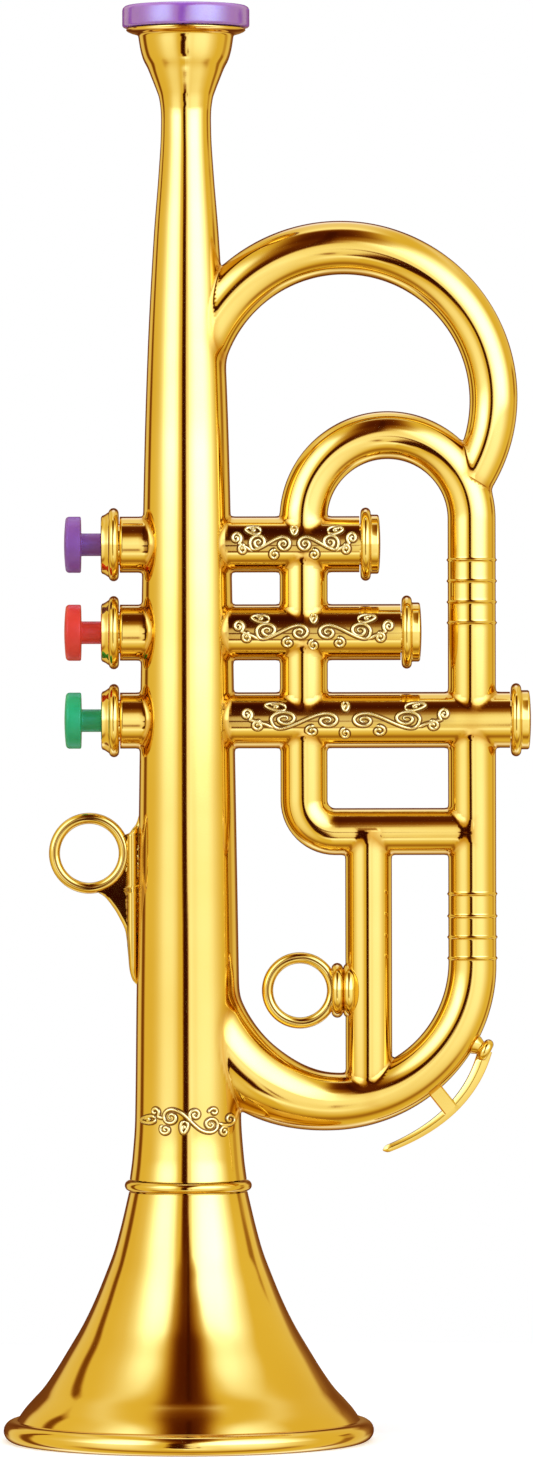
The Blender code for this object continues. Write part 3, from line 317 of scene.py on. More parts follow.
def plasticMaterial(name, main, shade, roughness, glow=0.0, gloss=0.5, glossTint=(1, 1, 1), ior=1.5):
    # moulded plastic: faint clouds in the colour, satin skin with fine grain and a few rubbed places
    made, tree, surface = newMaterial(name)
    where, look = objectPlace(tree), plasticLook
    clouds = rangeNode(tree, noiseNode(tree, where, look["cloudScale"], 3), 0, 1)
    rubbed = noiseNode(tree, where, look["rubbedScale"], 4, 0.65)
    grain = noiseNode(tree, where, look["grainScale"], 3)
    feed(tree, surface, {
        "Base Color": mixColour(tree, clouds, main, shade),
        "Roughness": rangeNode(tree, rubbed, *[roughness + change for change in look["rubbed"]]),
        "Normal": bumpNode(tree, grain, look["grainStrength"], look["grainDepth"]),
        "IOR": ior, "Specular IOR Level": gloss, "Specular Tint": (*glossTint, 1)})
    if glow:
        feed(tree, surface, {"Subsurface Weight": glow, "Subsurface Radius": (1.0, 1.0, 1.0),
                             "Subsurface Scale": look["glowDepth"]})
    return made


metalLook = dict(unevenness=(-0.06, 0.1), streakStrength=0.5, streakDepth=0.00001)


def metalMaterial(name, main, shade, roughness, streak=(1.0, 1.0, 1.0), scale=900.0, metallic=1.0):
    # sheet or wire: streaks drawn out by the uneven scale of the mapping, in colour, gloss and height
    made, tree, surface = newMaterial(name)
    drawn = addNode(tree, "ShaderNodeMapping", {"Vector": objectPlace(tree), "Scale": streak})["Vector"]
    streaks, look = noiseNode(tree, drawn, scale, 4, 0.6), metalLook
    feed(tree, surface, {
        "Base Color": mixColour(tree, rangeNode(tree, streaks, 0, 1), main, shade), "Metallic": metallic,
        "Roughness": rangeNode(tree, streaks, *[roughness + change for change in look["unevenness"]]),
        "Normal": bumpNode(tree, streaks, look["streakStrength"], look["streakDepth"])})
    return made


gold = goldMaterial("goldLacquer")
goldShell = goldMaterial("goldLacquerShell", withPaintedShade=True)
# its corner colour is painted shade at the feet of the scroll ridges
scrollLook = dict(goldLook, bright=(0.92, 0.68, 0.17), deep=(0.86, 0.60, 0.13), corner=(0.20, 0.07, 0.004),
                  roughness=(0.24, 0.32), lacquer=0.1)
goldScroll = goldMaterial("goldScroll", withPaintedShade=True, look=scrollLook)
violet = plasticMaterial("violetGloss", (0.36, 0.115, 0.62), (0.31, 0.1, 0.56), 0.14, glow=0.1, gloss=1.0,
                         glossTint=(1.0, 0.82, 0.28), ior=1.75)
keyColours = dict(
    purple=((0.255, 0.088, 0.355), (0.22, 0.073, 0.31)),
    red=((0.80, 0.058, 0.042), (0.72, 0.045, 0.032)),
    green=((0.018, 0.44, 0.175), (0.01, 0.37, 0.14)),
)
keyPlastics = {colour: plasticMaterial("%sSatin" % colour, *pair, 0.36, glow=0.15, glossTint=(0.9, 0.66, 0.3))
               for colour, pair in keyColours.items()}
ivory = plasticMaterial("ivoryMoulding", (0.70, 0.66, 0.56), (0.62, 0.57, 0.46), 0.5)
brass = metalMaterial("reedBrass", (0.78, 0.56, 0.24), (0.62, 0.41, 0.15), 0.28, (1.0, 1.0, 0.08))
steel = metalMaterial("springSteel", (0.62, 0.62, 0.64), (0.42, 0.42, 0.45), 0.3, (0.3, 1.0, 1.0), 1500.0)
rubber = metalMaterial("padRubber", (0.045, 0.045, 0.045), (0.02, 0.02, 0.02), 0.75, scale=1800.0, metallic=0.0)
print("materials ready")


# placing pieces

def addObject(name, data):
    item = bpy.data.objects.new(name, data)
    bpy.context.scene.collection.objects.link(item)
    return item


def addPiece(name, mesh, finish, nodes=(), body="trumpet", sharp=sharpAngle):
    item = addObject(name, mesh)
    mesh.materials.clear()
    mesh.materials.append(finish)
    mesh.shade_smooth()
    mesh.set_sharp_from_angle(angle=math.radians(sharp))
    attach(item, body)
    if nodes:
        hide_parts(*nodes)
    return item


def paint(mesh, corner, deepPaintedShade):
    # how strongly each point takes the two colours of painted shade in the gold, from 0 to 1
    for name, values in (("corner", corner), ("deepPaintedShade", deepPaintedShade)):
        attribute = mesh.attributes.get(name) or mesh.attributes.new(name, "FLOAT", "POINT")
        attribute.data.foreach_set("value", np.broadcast_to(values, len(mesh.vertices)).astype(np.float32))


def combined(first, *steps):
    # joins, cuts or keeps the common part of closed meshes, one after the other, and gives the finished mesh
    base = addObject("working", first)
    helpers = []
    for operation, mesh in steps:
        helpers.append(addObject("helper", mesh))
        step = base.modifiers.new(operation, "BOOLEAN")
        step.operation, step.solver, step.object = operation, "MANIFOLD", helpers[-1]
    bpy.context.view_layer.update()
    made = bpy.data.meshes.new_from_object(base.evaluated_get(bpy.context.evaluated_depsgraph_get()))
    for item in [base, *helpers]:
        bpy.data.objects.remove(item)
    return made


# the moulded body: trunk, casings and tubing

form = dict(
    wall=1.6, seam=0.10,
    footHeight=67.1, footRadius=15.0, waistHeight=338.8, waistRadius=6.4,
    taper=((0, 1), (.02, .92), (.056, .84), (.17, .79), (.4, .68), (.57, .595), (.69, .515), (.785, .41),
           (.89, .225), (.95, .075), (.985, .008), (1, 0)),
    cupHeight=21.8, cupRadius=12.3,
    cupFlare=((0, 0), (.08, .008), (.24, .08), (.353, .22), (.47, .39), (.59, .568), (.706, .78), (.826, .9), (1, 1)),
    lipRadius=15.2, lipThickness=1.3,
    lipCurve=((0, -.45), (.25, -.2), (.9, 0), (1.8, .25), (2.6, .6), (3.0, .95)),
    casingRadius=7.2, valveHeights=(229.8, 207.25, 184.7), casingEnds=(44.2, 54.7, 82.7), sleeveEnd=-17.2,
    sleeveFoot=175, sleeveStart=-10.7, sleeveLean=0.061, sleeveFade=1.2,
    tubeRadius=6.15, leftReach=29.9, loopRadius=21.55, loopHeight=236.2, rightReach=73.0,
    bowReach=37.5, bowHeight=122.4, bowRadius=35.5, bowSweep=168.0, bowRoot=10.0,
    bowSwell=((0, 0), (.3, .13), (.536, .33), (.744, .85), (.89, 1), (1, 1)),
    crossHeight=156.1, crossRadius=6.03, bendRadius=8.0,
    middleReach=46.4, middleRadius=5.98,
    crookReach=39.86, crookHeight=267.0, crookBend=38.81, crookFrom=166.0, crookTo=-31.36,
    crookRoot=7.5, crookJoin=5.9,
    loopLength=67.7, bowLength=104, bendLength=12.6, crookLength=135,  # they set the number of rows
    bands=(225.7, 220.3, 214.9, 209.6, 140.1, 134.4, 129.0, 123.6), bandProud=0.34, bandWidth=0.30,
    bandRows=(-0.75, 0.75, 11),
    # on the next line, the width and power after the slope set how far painted shade in the corners spreads from a
    # meeting of two forms
    corner=0.8, roundSteps=4, leastSlope=0.25, cornerShadeWidth=1.6, cornerShadePower=1.5, clearance=0.45, slopeReach=0.2,
    onSkin=0.12, skinBand=(-0.7, 0.3), exactWithin=0.05, agreeAbove=0.6,  # which points count as the outer skin
    overlap=1.5, past=2.0, pastCup=4.0,  # how far tubes reach into each other and bores run out past an end
    step=0.8, coarse=2.0, longCoarse=6.0,  # between the rows of a mesh
    tubeSides=64, tubeBoreSides=28, casingSides=72, casingBoreSides=32, trunkSides=96, trunkBoreSides=40,
    # the panels place each casing's scrolls; they and the table after them also set where painted shade lies on the
    # ground under the scrolls
    panels=((27.5, 15.0), (32.4, 19.4), (40.5, 25.5)), panelPast=3, panelFade=5, panelNear=0.15, panelClear=0.3,
    halfWide=(-40, 120), halfDeep=30.0, halfHigh=400,
    panelShade=((-90, 0), (-16, 0), (-8, .2), (0, .45), (8, .5), (16, .42), (26, .4), (34, .4), (35.5, 0), (90, 0)),
)
cupTop = form["waistHeight"] + form["cupHeight"]
loopMiddle = form["leftReach"] + form["loopRadius"]
bowSkin = form["bowRadius"] + form["tubeRadius"]


def trunkRadius(z):
    foot, waist, thin = pick(form, "footHeight waistHeight waistRadius")
    trunk = smoothCurve(form["taper"], rising(z, foot, waist - foot))
    flare = smoothCurve(form["cupFlare"], rising(z, waist, form["cupHeight"]))
    return np.where(z < waist, blend(thin, form["footRadius"], trunk), blend(thin, form["cupRadius"], flare))


def boreFit(z):
    # the radius at one height of what sits in the trunk's bore with its clearance
    return trunkRadius(np.array([z]))[0] - form["wall"] - form["clearance"]


def trunkShape(offset, sides, step):
    z = evenRun(form["footHeight"], cupTop, step)
    profile = np.c_[trunkRadius(z) + offset, z]
    if offset < 0:  # the bore runs out at the foot and at the cup's mouth
        low, high = z[0] - form["past"], cupTop + form["pastCup"]
        profile = np.vstack([[profile[0, 0], low], profile, [profile[-1, 0], high]])
    else:
        low, high = z[0], cupTop + form["lipThickness"]
        saucer = [(form["cupRadius"] + out, cupTop + up) for out, up in form["lipCurve"]]
        profile = np.vstack([profile[:-1], saucer, [form["lipRadius"], high]])
    return turnedSolid(np.vstack([[0, low], profile, [0, high]]), sides)


def rightTubeRadius(z):
    # a thin round band at each height: a bell curve added to the radius
    z = np.asarray(z, float)
    bands = hump(z[..., None], np.array(form["bands"]), form["bandWidth"]).sum(-1)
    return form["tubeRadius"] + form["bandProud"] * bands


def bowRadii(share):
    return blend(form["tubeRadius"], form["bowRoot"], smoothCurve(form["bowSwell"], np.clip(share, 0, 1)))


def longTube(offset, sides, step):
    # up the left, over the loop, down the right and round the bow
    top, low, tube, rightReach = pick(form, "loopHeight bowHeight tubeRadius rightReach")
    left = upright(form["leftReach"], evenRun(form["valveHeights"][-1] - form["overlap"], top, step))
    loop = arcPoints(loopMiddle, top, form["loopRadius"], 180, 0, int(form["loopLength"] / step))
    z = evenRun(top, low, step)
    if offset == 0:  # closer rows where the bands are
        near = (np.array(form["bands"])[:, None] + np.linspace(*form["bandRows"])).ravel()
        z = np.unique(np.round(np.r_[z, near], 4))[::-1]
    count = int(form["bowLength"] / step)
    bow = arcPoints(form["bowReach"], low, form["bowRadius"], 0, -form["bowSweep"], count)
    path = dropRepeats(np.vstack([left, loop, upright(rightReach, z), bow]))
    radii = np.full(len(path), tube)
    if offset == 0:
        onRight = np.abs(path[:, 0] - rightReach) < 1e-6
        radii[onRight] = rightTubeRadius(path[onRight, 1])
    radii[-count:] = bowRadii(np.linspace(0, 1, count))
    return closedSurface(alongPath(path, radii + offset, sides))


def crossTube(offset, sides, step):
    z, bend, left = form["crossHeight"], form["bendRadius"], form["leftReach"]
    x = evenRun(form["rightReach"], left + bend, step)
    corner = arcPoints(left + bend, z + bend, bend, -90, -180, max(8, int(form["bendLength"] / step)))
    up = upright(left, evenRun(z + bend, form["valveHeights"][-1] + form["overlap"], step))
    path = np.vstack([np.c_[x, np.full(len(x), z)], corner, up])
    return closedSurface(alongPath(dropRepeats(path), form["crossRadius"] + offset, sides))


def middleTube(offset, sides, step):
    reach, bend = pick(form, "middleReach bowRadius")
    foot = form["bowHeight"] - math.sqrt(bend ** 2 - (reach - form["bowReach"]) ** 2)
    path = upright(reach, evenRun(form["crossHeight"], foot, step))
    return closedSurface(alongPath(path, form["middleRadius"] + offset, sides))


def crookTube(offset, sides, step):
    count = int(form["crookLength"] / step)
    path = arcPoints(*pick(form, "crookReach crookHeight crookBend crookFrom crookTo"), count)
    return closedSurface(alongPath(path, np.linspace(form["crookRoot"], form["crookJoin"], count) + offset, sides))


def rod(x0, x1, radius, z, sides, step):
    x = evenRun(x0, x1, step)
    return closedSurface(turned(np.c_[np.full(len(x), radius), x], sides, "x", z))


def cappedLine(along, low, high, radial):
    return np.maximum(radial, np.maximum(low - along, along - high))


def cappedArc(x, y, z, middleX, middleZ, bend, lowDegrees, highDegrees, radius):
    # distance to a bent tube: that from its circle less its radius, cut off square at both ends
    rho = np.hypot(x - middleX, z - middleZ)
    middle = (lowDegrees + highDegrees) / 2
    turn = (np.degrees(np.arctan2(z - middleZ, x - middleX)) - middle + 180) % 360 - 180 + middle
    share = (turn - lowDegrees) / (highDegrees - lowDegrees)
    past = np.radians(np.maximum(lowDegrees - turn, turn - highDegrees)) * rho
    return np.maximum(np.hypot(rho - bend, y) - radius(share), past)


def bodyDistances(p):
    # distance from points to each outer form of the body, below zero inside it
    x, y, z = p.T
    leftReach, rightReach, tube, loopZ, bowZ = pick(form, "leftReach rightReach tubeRadius loopHeight bowHeight")
    bend, crossZ, cross, bowBend = pick(form, "bendRadius crossHeight crossRadius bowRadius")
    low = form["valveHeights"][-1]
    reach = form["slopeReach"]
    slope = (trunkRadius(z + reach) - trunkRadius(z - reach)) / (2 * reach)
    trunk = (np.hypot(x, y) - trunkRadius(z)) / np.sqrt(1 + slope ** 2)
    found = [cappedLine(z, form["footHeight"], cupTop, trunk)]
    for height, end in zip(form["valveHeights"], form["casingEnds"]):
        found.append(cappedLine(x, form["sleeveEnd"], end, np.hypot(y, z - height) - form["casingRadius"]))
    found.append(np.minimum.reduce([
        cappedLine(z, low, loopZ, np.hypot(x - leftReach, y) - tube),
        cappedArc(x, y, z, loopMiddle, loopZ, form["loopRadius"], 0, 180, lambda s: tube),
        cappedLine(z, bowZ, loopZ, np.hypot(x - rightReach, y) - rightTubeRadius(z)),
        cappedArc(x, y, z, form["bowReach"], bowZ, bowBend, -form["bowSweep"], 0, lambda s: bowRadii(1 - s))]))
    found.append(np.minimum.reduce([
        cappedLine(x, leftReach + bend, rightReach, np.hypot(y, z - crossZ) - cross),
        cappedArc(x, y, z, leftReach + bend, crossZ + bend, bend, -180, -90, lambda s: cross),
        cappedLine(z, crossZ + bend, low, np.hypot(x - leftReach, y) - cross)]))
    found.append(cappedLine(z, bowZ - bowBend, crossZ, np.hypot(x - form["middleReach"], y) - form["middleRadius"]))
    root, join = pick(form, "crookRoot crookJoin")
    crook = pick(form, "crookReach crookHeight crookBend crookTo crookFrom")
    found.append(cappedArc(x, y, z, *crook, lambda s: blend(join, root, s)))
    return np.array(found)


def roundedUnion(p):
    # smallest of the distances, with each meeting of two forms rounded off: less (k - gap)^2 / 4k within a gap k
    found = bodyDistances(p)
    k, total = form["corner"], found[0]
    for one in found[1:]:
        total = np.minimum(total, one) - np.maximum(k - np.abs(total - one), 0) ** 2 / (4 * k)
    return total


def slopeOf(p, reach=0.02):
    # central differences of the rounded union give its outward direction
    return np.array([(roundedUnion(p + axis) - roundedUnion(p - axis)) / (2 * reach) for axis in np.eye(3) * reach]).T


def meshPoints(mesh):
    flat = np.zeros(len(mesh.vertices) * 3, np.float32)
    mesh.vertices.foreach_get("co", flat)
    return (flat.reshape(-1, 3).astype(float) - axisPlace) / mm


def roundMeetings(mesh):
    # the points near a meeting are moved along the outward direction until they lie on the rounded union
    p = meshPoints(mesh)
    found = np.sort(bodyDistances(p), axis=0)
    chosen = (np.abs(found[0]) < form["onSkin"]) & (found[1] - found[0] < form["corner"])
    moved = p[chosen]
    for _ in range(form["roundSteps"]):
        direction = slopeOf(moved)
        length = np.maximum((direction ** 2).sum(1), form["leastSlope"])
        moved -= direction * (roundedUnion(moved) / length)[:, None]
    p[chosen] = moved
    mesh.vertices.foreach_set("co", (p * mm + axisPlace).astype(np.float32).ravel())
    mesh.update()
    print("  corners rounded at %d of %d points" % (chosen.sum(), len(p)))


def paintedPanelShade(p):
    # painted shade on the ground under the scrolls, by how far the casing faces up: strongest along its upper edge,
    # fading downwards and past the last curl
    x, y, z = p.T
    shade = np.zeros(len(p))
    for height, (middle, half) in zip(form["valveHeights"], form["panels"]):
        onCasing = np.abs(np.hypot(y, z - height) - form["casingRadius"]) < form["panelNear"]
        lift = np.degrees(np.arctan2(z - height, np.abs(y)))
        fade = falling(x, middle + half + form["panelPast"], form["panelFade"])
        here = onCasing & (x > 0) & (fade > 0) & (np.hypot(x, y) > trunkRadius(z) + form["panelClear"])
        shade = np.where(here, np.maximum(shade, smoothCurve(form["panelShade"], lift) * fade), shade)
    return shade


def shadeSkin(mesh):
    # painted shade in the corners where forms meet and on the scroll ground, and shading directions that come from
    # the formula near meetings and on the sleeves
    p = meshPoints(mesh)
    found = np.sort(bodyDistances(p), axis=0)
    skin = (found[0] > form["skinBand"][0]) & (found[0] < form["skinBand"][1])
    apart = found[1] - found[0]
    # painted shade in the corners: stronger the nearer a point is to a meeting of two forms
    paintedShade = np.clip(1 - apart / form["cornerShadeWidth"], 0, 1) ** form["cornerShadePower"]
    paint(mesh, np.where(skin, paintedShade, 0), paintedPanelShade(p))
    onSleeve = (p[:, 0] < form["sleeveStart"]) & (p[:, 2] > form["sleeveFoot"])
    exact = skin & ((apart < 2 * form["corner"]) | onSleeve) & (np.abs(roundedUnion(p)) < form["exactWithin"])
    direction = np.zeros_like(p)
    direction[exact] = slopeOf(p[exact])
    direction /= np.maximum(np.linalg.norm(direction, axis=1), 1e-9)[:, None]
    # the sheen of the sleeves leans a little to the trunk, as the draft of a moulding makes it
    lean = falling(p[:, 0], form["sleeveStart"], form["sleeveFade"]) * (onSleeve & exact)
    direction[:, 0] += form["sleeveLean"] * lean
    corner = np.zeros(len(mesh.loops), np.int32)
    mesh.loops.foreach_get("vertex_index", corner)
    start = np.zeros(len(mesh.polygons), np.int32)
    mesh.polygons.foreach_get("loop_start", start)
    faces = np.zeros(len(mesh.polygons) * 3, np.float32)
    mesh.polygons.foreach_get("normal", faces)
    owner = np.repeat(np.arange(len(start)), np.diff(np.r_[start, len(corner)]))
    agree = (direction[corner] * faces.reshape(-1, 3)[owner]).sum(1) > form["agreeAbove"]
    mesh.normals_split_custom_set(np.where(agree[:, None], direction[corner], 0))


def boxMesh(low, high):
    corners = ((low[0], low[1]), (high[0], low[1]), (high[0], high[1]), (low[0], high[1]))
    rows = [[(x, y, z) for x, y in corners] for z in (low[2], high[2])]
    return meshFrom("box", closedSurface(np.array(rows, float)))


def joinedBody():
    # the outer forms joined, the bores cut, and the trunk's own bore cut last through all of them
    step, coarse, past, end = pick(form, "step coarse past sleeveEnd")
    fine, rough = (form["tubeSides"], step), (form["tubeBoreSides"], coarse)
    makers = [crossTube, middleTube, crookTube]
    skins = [meshFrom("skin", make(0, *fine)) for make in makers]
    bores = [meshFrom("bore", make(-form["wall"], *rough)) for make in makers + [longTube]]
    sleeves = [meshFrom("trunkBore", trunkShape(-form["wall"], form["trunkBoreSides"], coarse))]
    for z, reach in zip(form["valveHeights"], form["casingEnds"]):
        inside = form["casingRadius"] - form["wall"], z, form["casingBoreSides"], form["longCoarse"]
        skins.append(meshFrom("skin", rod(end, reach, form["casingRadius"], z, form["casingSides"], step)))
        bores.append(meshFrom("bore", rod(0, reach + past, *inside)))
        sleeves.append(meshFrom("bore", rod(end - past, 0, *inside)))
    trunk = [meshFrom("trunk", trunkShape(0, form["trunkSides"], step))]
    order = (("UNION", skins), ("DIFFERENCE", bores), ("UNION", trunk), ("DIFFERENCE", sleeves))
    return combined(meshFrom("tubes", longTube(0, *fine)), *[(what, one) for what, group in order for one in group])


wholeBody = joinedBody()
print("body joined: %d faces" % len(wholeBody.polygons))
roundMeetings(wholeBody)
for name, node, side in (("frontShell", "front_shell", -1), ("backShell", "back_shell", 1)):
    near, far = sorted((side * form["seam"] / 2, side * form["halfDeep"]))
    left, right = form["halfWide"]
    block = boxMesh((left, near, 0), (right, far, form["halfHigh"]))
    half = combined(wholeBody.copy(), ("INTERSECT", block))
    addPiece(name, half, goldShell, [node])
    shadeSkin(half)
    print("  %s: %d faces" % (name, len(half.polygons)))


# bell and its collar

bell = dict(
    mouthRadius=44.8, throatRadius=15.2, height=63.8, beadRadius=2.7, beadHeight=2.62, wall=1.6,
    flare=((0, 1), (.03, .988), (.05, .965), (.088, .912), (.129, .838), (.171, .757), (.233, .664), (.338, .529),
           (.444, .4), (.549, .295), (.65, .209), (.755, .128), (.86, .068), (1, 0)),
    neckTop=73.8, neckEdge=0.4, beadGap=0.1, beadLap=8, sides=144, rows=90, beadRows=40,  # the lap in degrees
    collarBase=64.1, collarThickness=2.7, collarRadius=16.3, collarBore=13.4, collarSides=112,
)


def bellProfile():
    # the flare from throat to mouth, the round bead, and the same flare moved in by the wall along its normals
    wall, height, top, edge, mouthRadius = pick(bell, "wall height neckTop neckEdge mouthRadius")
    beadHeight, beadRadius, gap, lap = pick(bell, "beadHeight beadRadius beadGap beadLap")
    z = np.linspace(height, beadHeight, bell["rows"])
    share = (z - beadHeight) / (height - beadHeight)
    outer = np.c_[blend(bell["throatRadius"], mouthRadius, smoothCurve(bell["flare"], share)), z]
    step = unitSteps(outer)
    inner = outer + wall * np.c_[step[:, 1], -step[:, 0]]
    middle = np.array([mouthRadius, beadHeight])
    outer, inner = (line[np.linalg.norm(line - middle, axis=1) > beadRadius + gap] for line in (outer, inner))
    start, end = (math.degrees(math.atan2(*(line[-1] - middle)[::-1])) for line in (outer, inner))
    end = end - 360 if end > start else end
    bead = arcPoints(*middle, beadRadius, start - lap, end + lap, bell["beadRows"])
    bead[:, 1] = np.maximum(bead[:, 1], 0)
    root, tip = boreFit(form["footHeight"]), boreFit(top)
    neck = [(root - wall, height - wall), (tip - wall, top - edge), (tip - wall + edge, top), (tip - edge, top),
            (tip, top - edge), (root, height)]
    return np.vstack([outer, bead, inner[::-1][:-2], neck])


addPiece("bellFlare", meshFrom("bellFlare", turnedRing(bellProfile(), bell["sides"])), gold, ["bell"])


def collarProfile():
    half = bell["collarThickness"] / 2
    middle = bell["collarBase"] + half
    outer = arcPoints(bell["collarRadius"] - half, middle, half, -90, 90, 20)
    return np.vstack([outer, [bell["collarBore"], middle + half], [bell["collarBore"], middle - half]])


addPiece("bellCollar", meshFrom("bellCollar", turnedRing(collarProfile(), bell["collarSides"])), gold,
         ["bell_collar"])
print("bell and collar made")


# mouth ring

mouth = dict(base=362.2, top=367.8, radius=16.3, spigotFoot=358.9, wall=1.3, rounding=1.3, lowRounding=0.7, lead=2.6,
             chamfer=0.3, step=0.35, sides=112)


def mouthProfile():
    base, top, radius, foot, cut = pick(mouth, "base top radius spigotFoot chamfer")
    small, large, lead = pick(mouth, "lowRounding rounding lead")
    spigot = boreFit(foot)
    bore = spigot - mouth["wall"]
    return np.vstack([
        arcPoints(radius - small, base + small, small, -90, 0, 7),
        arcPoints(radius - large, top - large, large, 0, 90, 11),
        arcPoints(bore + lead, top - lead, lead, 90, 180, 12),
        [(bore, foot + cut), (bore + cut, foot), (spigot - cut, foot), (spigot, foot + cut),
         (spigot + mouth["step"], base)]])


addPiece("mouthRing", meshFrom("mouthRing", turnedRing(mouthProfile(), mouth["sides"])), violet, ["mouth_ring"])
print("mouth ring made")


# casing ends: caps on the right, guide collars on the left

fitting = dict(
    gap=0.3, bore=5.6, capBead=9.4, capThickness=2.6, stepRadius=7.6, stepLength=2.1, dome=0.4, spigot=3.5,
    edge=0.55, fillet=0.3, coneRoot=8.4, coneTip=7.4, coneLength=1.9, coneEdge=0.35, coneStart=0.25, coneCurve=1.6,
    guide=3.2, guideSpigot=3.0, sides=72,
)


def capProfile(reach):
    # from the hollow inside round the spigot, out over the bead, down to the step and over its shallow dome
    gap, thick, radius, edge, fillet, dome = pick(fitting, "gap capThickness stepRadius edge fillet dome")
    half, end, spigot = thick / 2, thick + fitting["stepLength"], fitting["bore"] - gap
    cup, deep = spigot - form["wall"], -fitting["spigot"]
    profile = np.vstack([
        [(0, half), (cup, half), (cup, deep), (spigot, deep), (spigot, 0.0)],
        arcAlong(half, fitting["capBead"] - half, half, 180, 0, 17),
        arcAlong(thick + fillet, radius + fillet, fillet, 180, 270, 5),
        arcAlong(end - edge, radius - edge, edge, 90, 15, 7),
        [(radius * k, end + dome * (1 - k * k)) for k in (0.8, 0.6, 0.4, 0.2, 0)]])
    profile[:, 1] += reach + gap
    return profile


def guideProfile():
    gap, thick, tip, guide, deep = pick(fitting, "gap capThickness coneTip guide guideSpigot")
    half, beadEnd, spigot, length = thick / 2, -gap - thick, fitting["bore"] - gap, fitting["coneLength"]
    t = np.linspace(0, 1, 9)[:, None]
    cone = np.hstack([blend(tip, fitting["coneRoot"], t ** fitting["coneCurve"]), beadEnd - length * (1 - t)])
    cone[0, 1] += fitting["coneStart"]
    bead = arcAlong(beadEnd + half, fitting["capBead"] - half, half, 180, 0, 17)
    edge = [(guide, beadEnd - length), (tip - fitting["coneEdge"], beadEnd - length)]
    profile = np.vstack([edge, cone[:-1], bead[1:], [(spigot, -gap), (spigot, deep), (guide, deep)]])
    profile[:, 1] += form["sleeveEnd"]
    return profile


for number, (z, reach) in enumerate(zip(form["valveHeights"], form["casingEnds"]), 1):
    cap = meshFrom("endCap", turnedSolid(capProfile(reach), fitting["sides"], "x", z))
    addPiece("endCap%d" % number, cap, gold, ["valve_end_cap_%d" % number])
    guide = meshFrom("guideCollar", turnedRing(guideProfile(), fitting["sides"], "x", z))
    addPiece("guideCollar%d" % number, guide, gold, ["valve_collar_%d" % number])
print("caps and collars made")


# buttons, pads, clips and springs

keys = dict(
    travel=4.5, capInner=-27.2, capThickness=4.3, capRadius=7.2, edge=1.0, stem=2.9,
    flangeFrom=-13.9, flangeThickness=1.2, flangeRadius=4.6, rod=1.5, rodEnd=1.1, tip=0.9, tipEnd=4.4,
    dome=0.45, edgeFrom=0.35, innerEdge=0.35, fillet=0.4, tipEdge=0.2, sides=64,
    padFrom=1.4, padThickness=1.5, padRadius=4.4, padEdge=0.3, padSides=40, bore=1.2,
    clipGap=0.3, clipThickness=0.7, clipRadius=2.4, clipEdge=0.15, clipSides=32,
    springRadius=3.6, springWire=0.3, springTurns=4.0, endTurns=0.75, springFrom=-12.1, springTo=-4.0,
    closePitch=2.02, turnRows=40, wireSides=10,
)


def buttonProfile():
    inner, radius, edge, stem, x = pick(keys, "capInner capRadius edge stem flangeFrom")
    flange, thin, thinEnd, tip, tipEnd = pick(keys, "flangeRadius rod rodEnd tip tipEnd")
    soft, fillet, small = pick(keys, "innerEdge fillet tipEdge")
    outer, flangeEnd = inner - keys["capThickness"], x + keys["flangeThickness"]
    return np.vstack([
        [(radius * k, outer + keys["dome"] * k * k) for k in (0, 0.2, 0.4, 0.6, 0.78)],
        arcAlong(outer + keys["edgeFrom"] + edge, radius - edge, edge, 180, 90, 9),
        arcAlong(inner - soft, radius - soft, soft, 90, 0, 5),
        arcAlong(inner + fillet, stem + fillet, fillet, 180, 270, 5),
        [(stem, x), (flange, x), (flange, flangeEnd), (thin, flangeEnd), (thin, thinEnd), (tip, thinEnd)],
        [(tip, tipEnd - small), (tip - small, tipEnd), (0, tipEnd)]])


def washerShape(radius, start, thickness, edge, sides, z):
    # a flat ring on the valve's axis with small rounded edges outside
    low = arcAlong(start + edge, radius - edge, edge, 180, 90, 5)
    high = arcAlong(start + thickness - edge, radius - edge, edge, 90, 0, 5)
    profile = np.vstack([[(keys["bore"], start)], low, high, [(keys["bore"], start + thickness)]])
    return meshFrom("washer", turnedRing(profile, sides, "x", z))


def coil(z):
    # a helix along the valve's axis: x grows with the turn, y and z are its cosine and sine; the ends are drawn flat
    wire, first, last, end, radius = pick(keys, "springWire springFrom springTo endTurns springRadius")
    turns = keys["springTurns"] + 2 * end
    t = np.linspace(0, 1, int(turns * keys["turnRows"]))
    flat = end / turns
    pitch = rising(t, flat, 1 - 2 * flat)
    lift = wire * keys["closePitch"] * end  # a little more than the wire is thick for each turn
    x = first + lift * rising(t, 0, flat) + lift * rising(t - 1, -flat, flat)
    x = x + (last - first - 2 * lift) * pitch
    a, b = 2 * np.pi * turns * t, fullTurn(keys["wireSides"])
    line = np.c_[x, radius * np.cos(a), z + radius * np.sin(a)]
    out = np.c_[np.zeros(len(t)), np.cos(a), np.sin(a)]
    side = np.cross(unitSteps(line), out)
    loop = np.cos(b)[None, :, None] * out[:, None] + np.sin(b)[None, :, None] * side[:, None]
    return closedSurface(line[:, None] + wire * loop)


for number, (colour, z) in enumerate(zip(("purple", "red", "green"), form["valveHeights"]), 1):
    body = "%s_key" % colour
    cap = meshFrom("button", turnedSolid(buttonProfile(), keys["sides"], "x", z))
    addPiece("%sButton" % colour, cap, keyPlastics[colour], ["button_%s" % colour], body, 50)
    pad = washerShape(*pick(keys, "padRadius padFrom padThickness padEdge padSides"), z)
    addPiece("%sPad" % colour, pad, rubber, ["valve_pad_%d" % number], body)
    start = keys["padFrom"] + keys["padThickness"] + keys["clipGap"]
    clip = washerShape(keys["clipRadius"], start, *pick(keys, "clipThickness clipEdge clipSides"), z)
    addPiece("%sClip" % colour, clip, steel, ["pad_clip_%d" % number], body)
    spring = addPiece("%sSpring" % colour, meshFrom("spring", coil(z)), steel, ["return_spring_%d" % number])
    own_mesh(spring)
print("keys and springs made")


# finger ring with its fin, pull ring with its beads

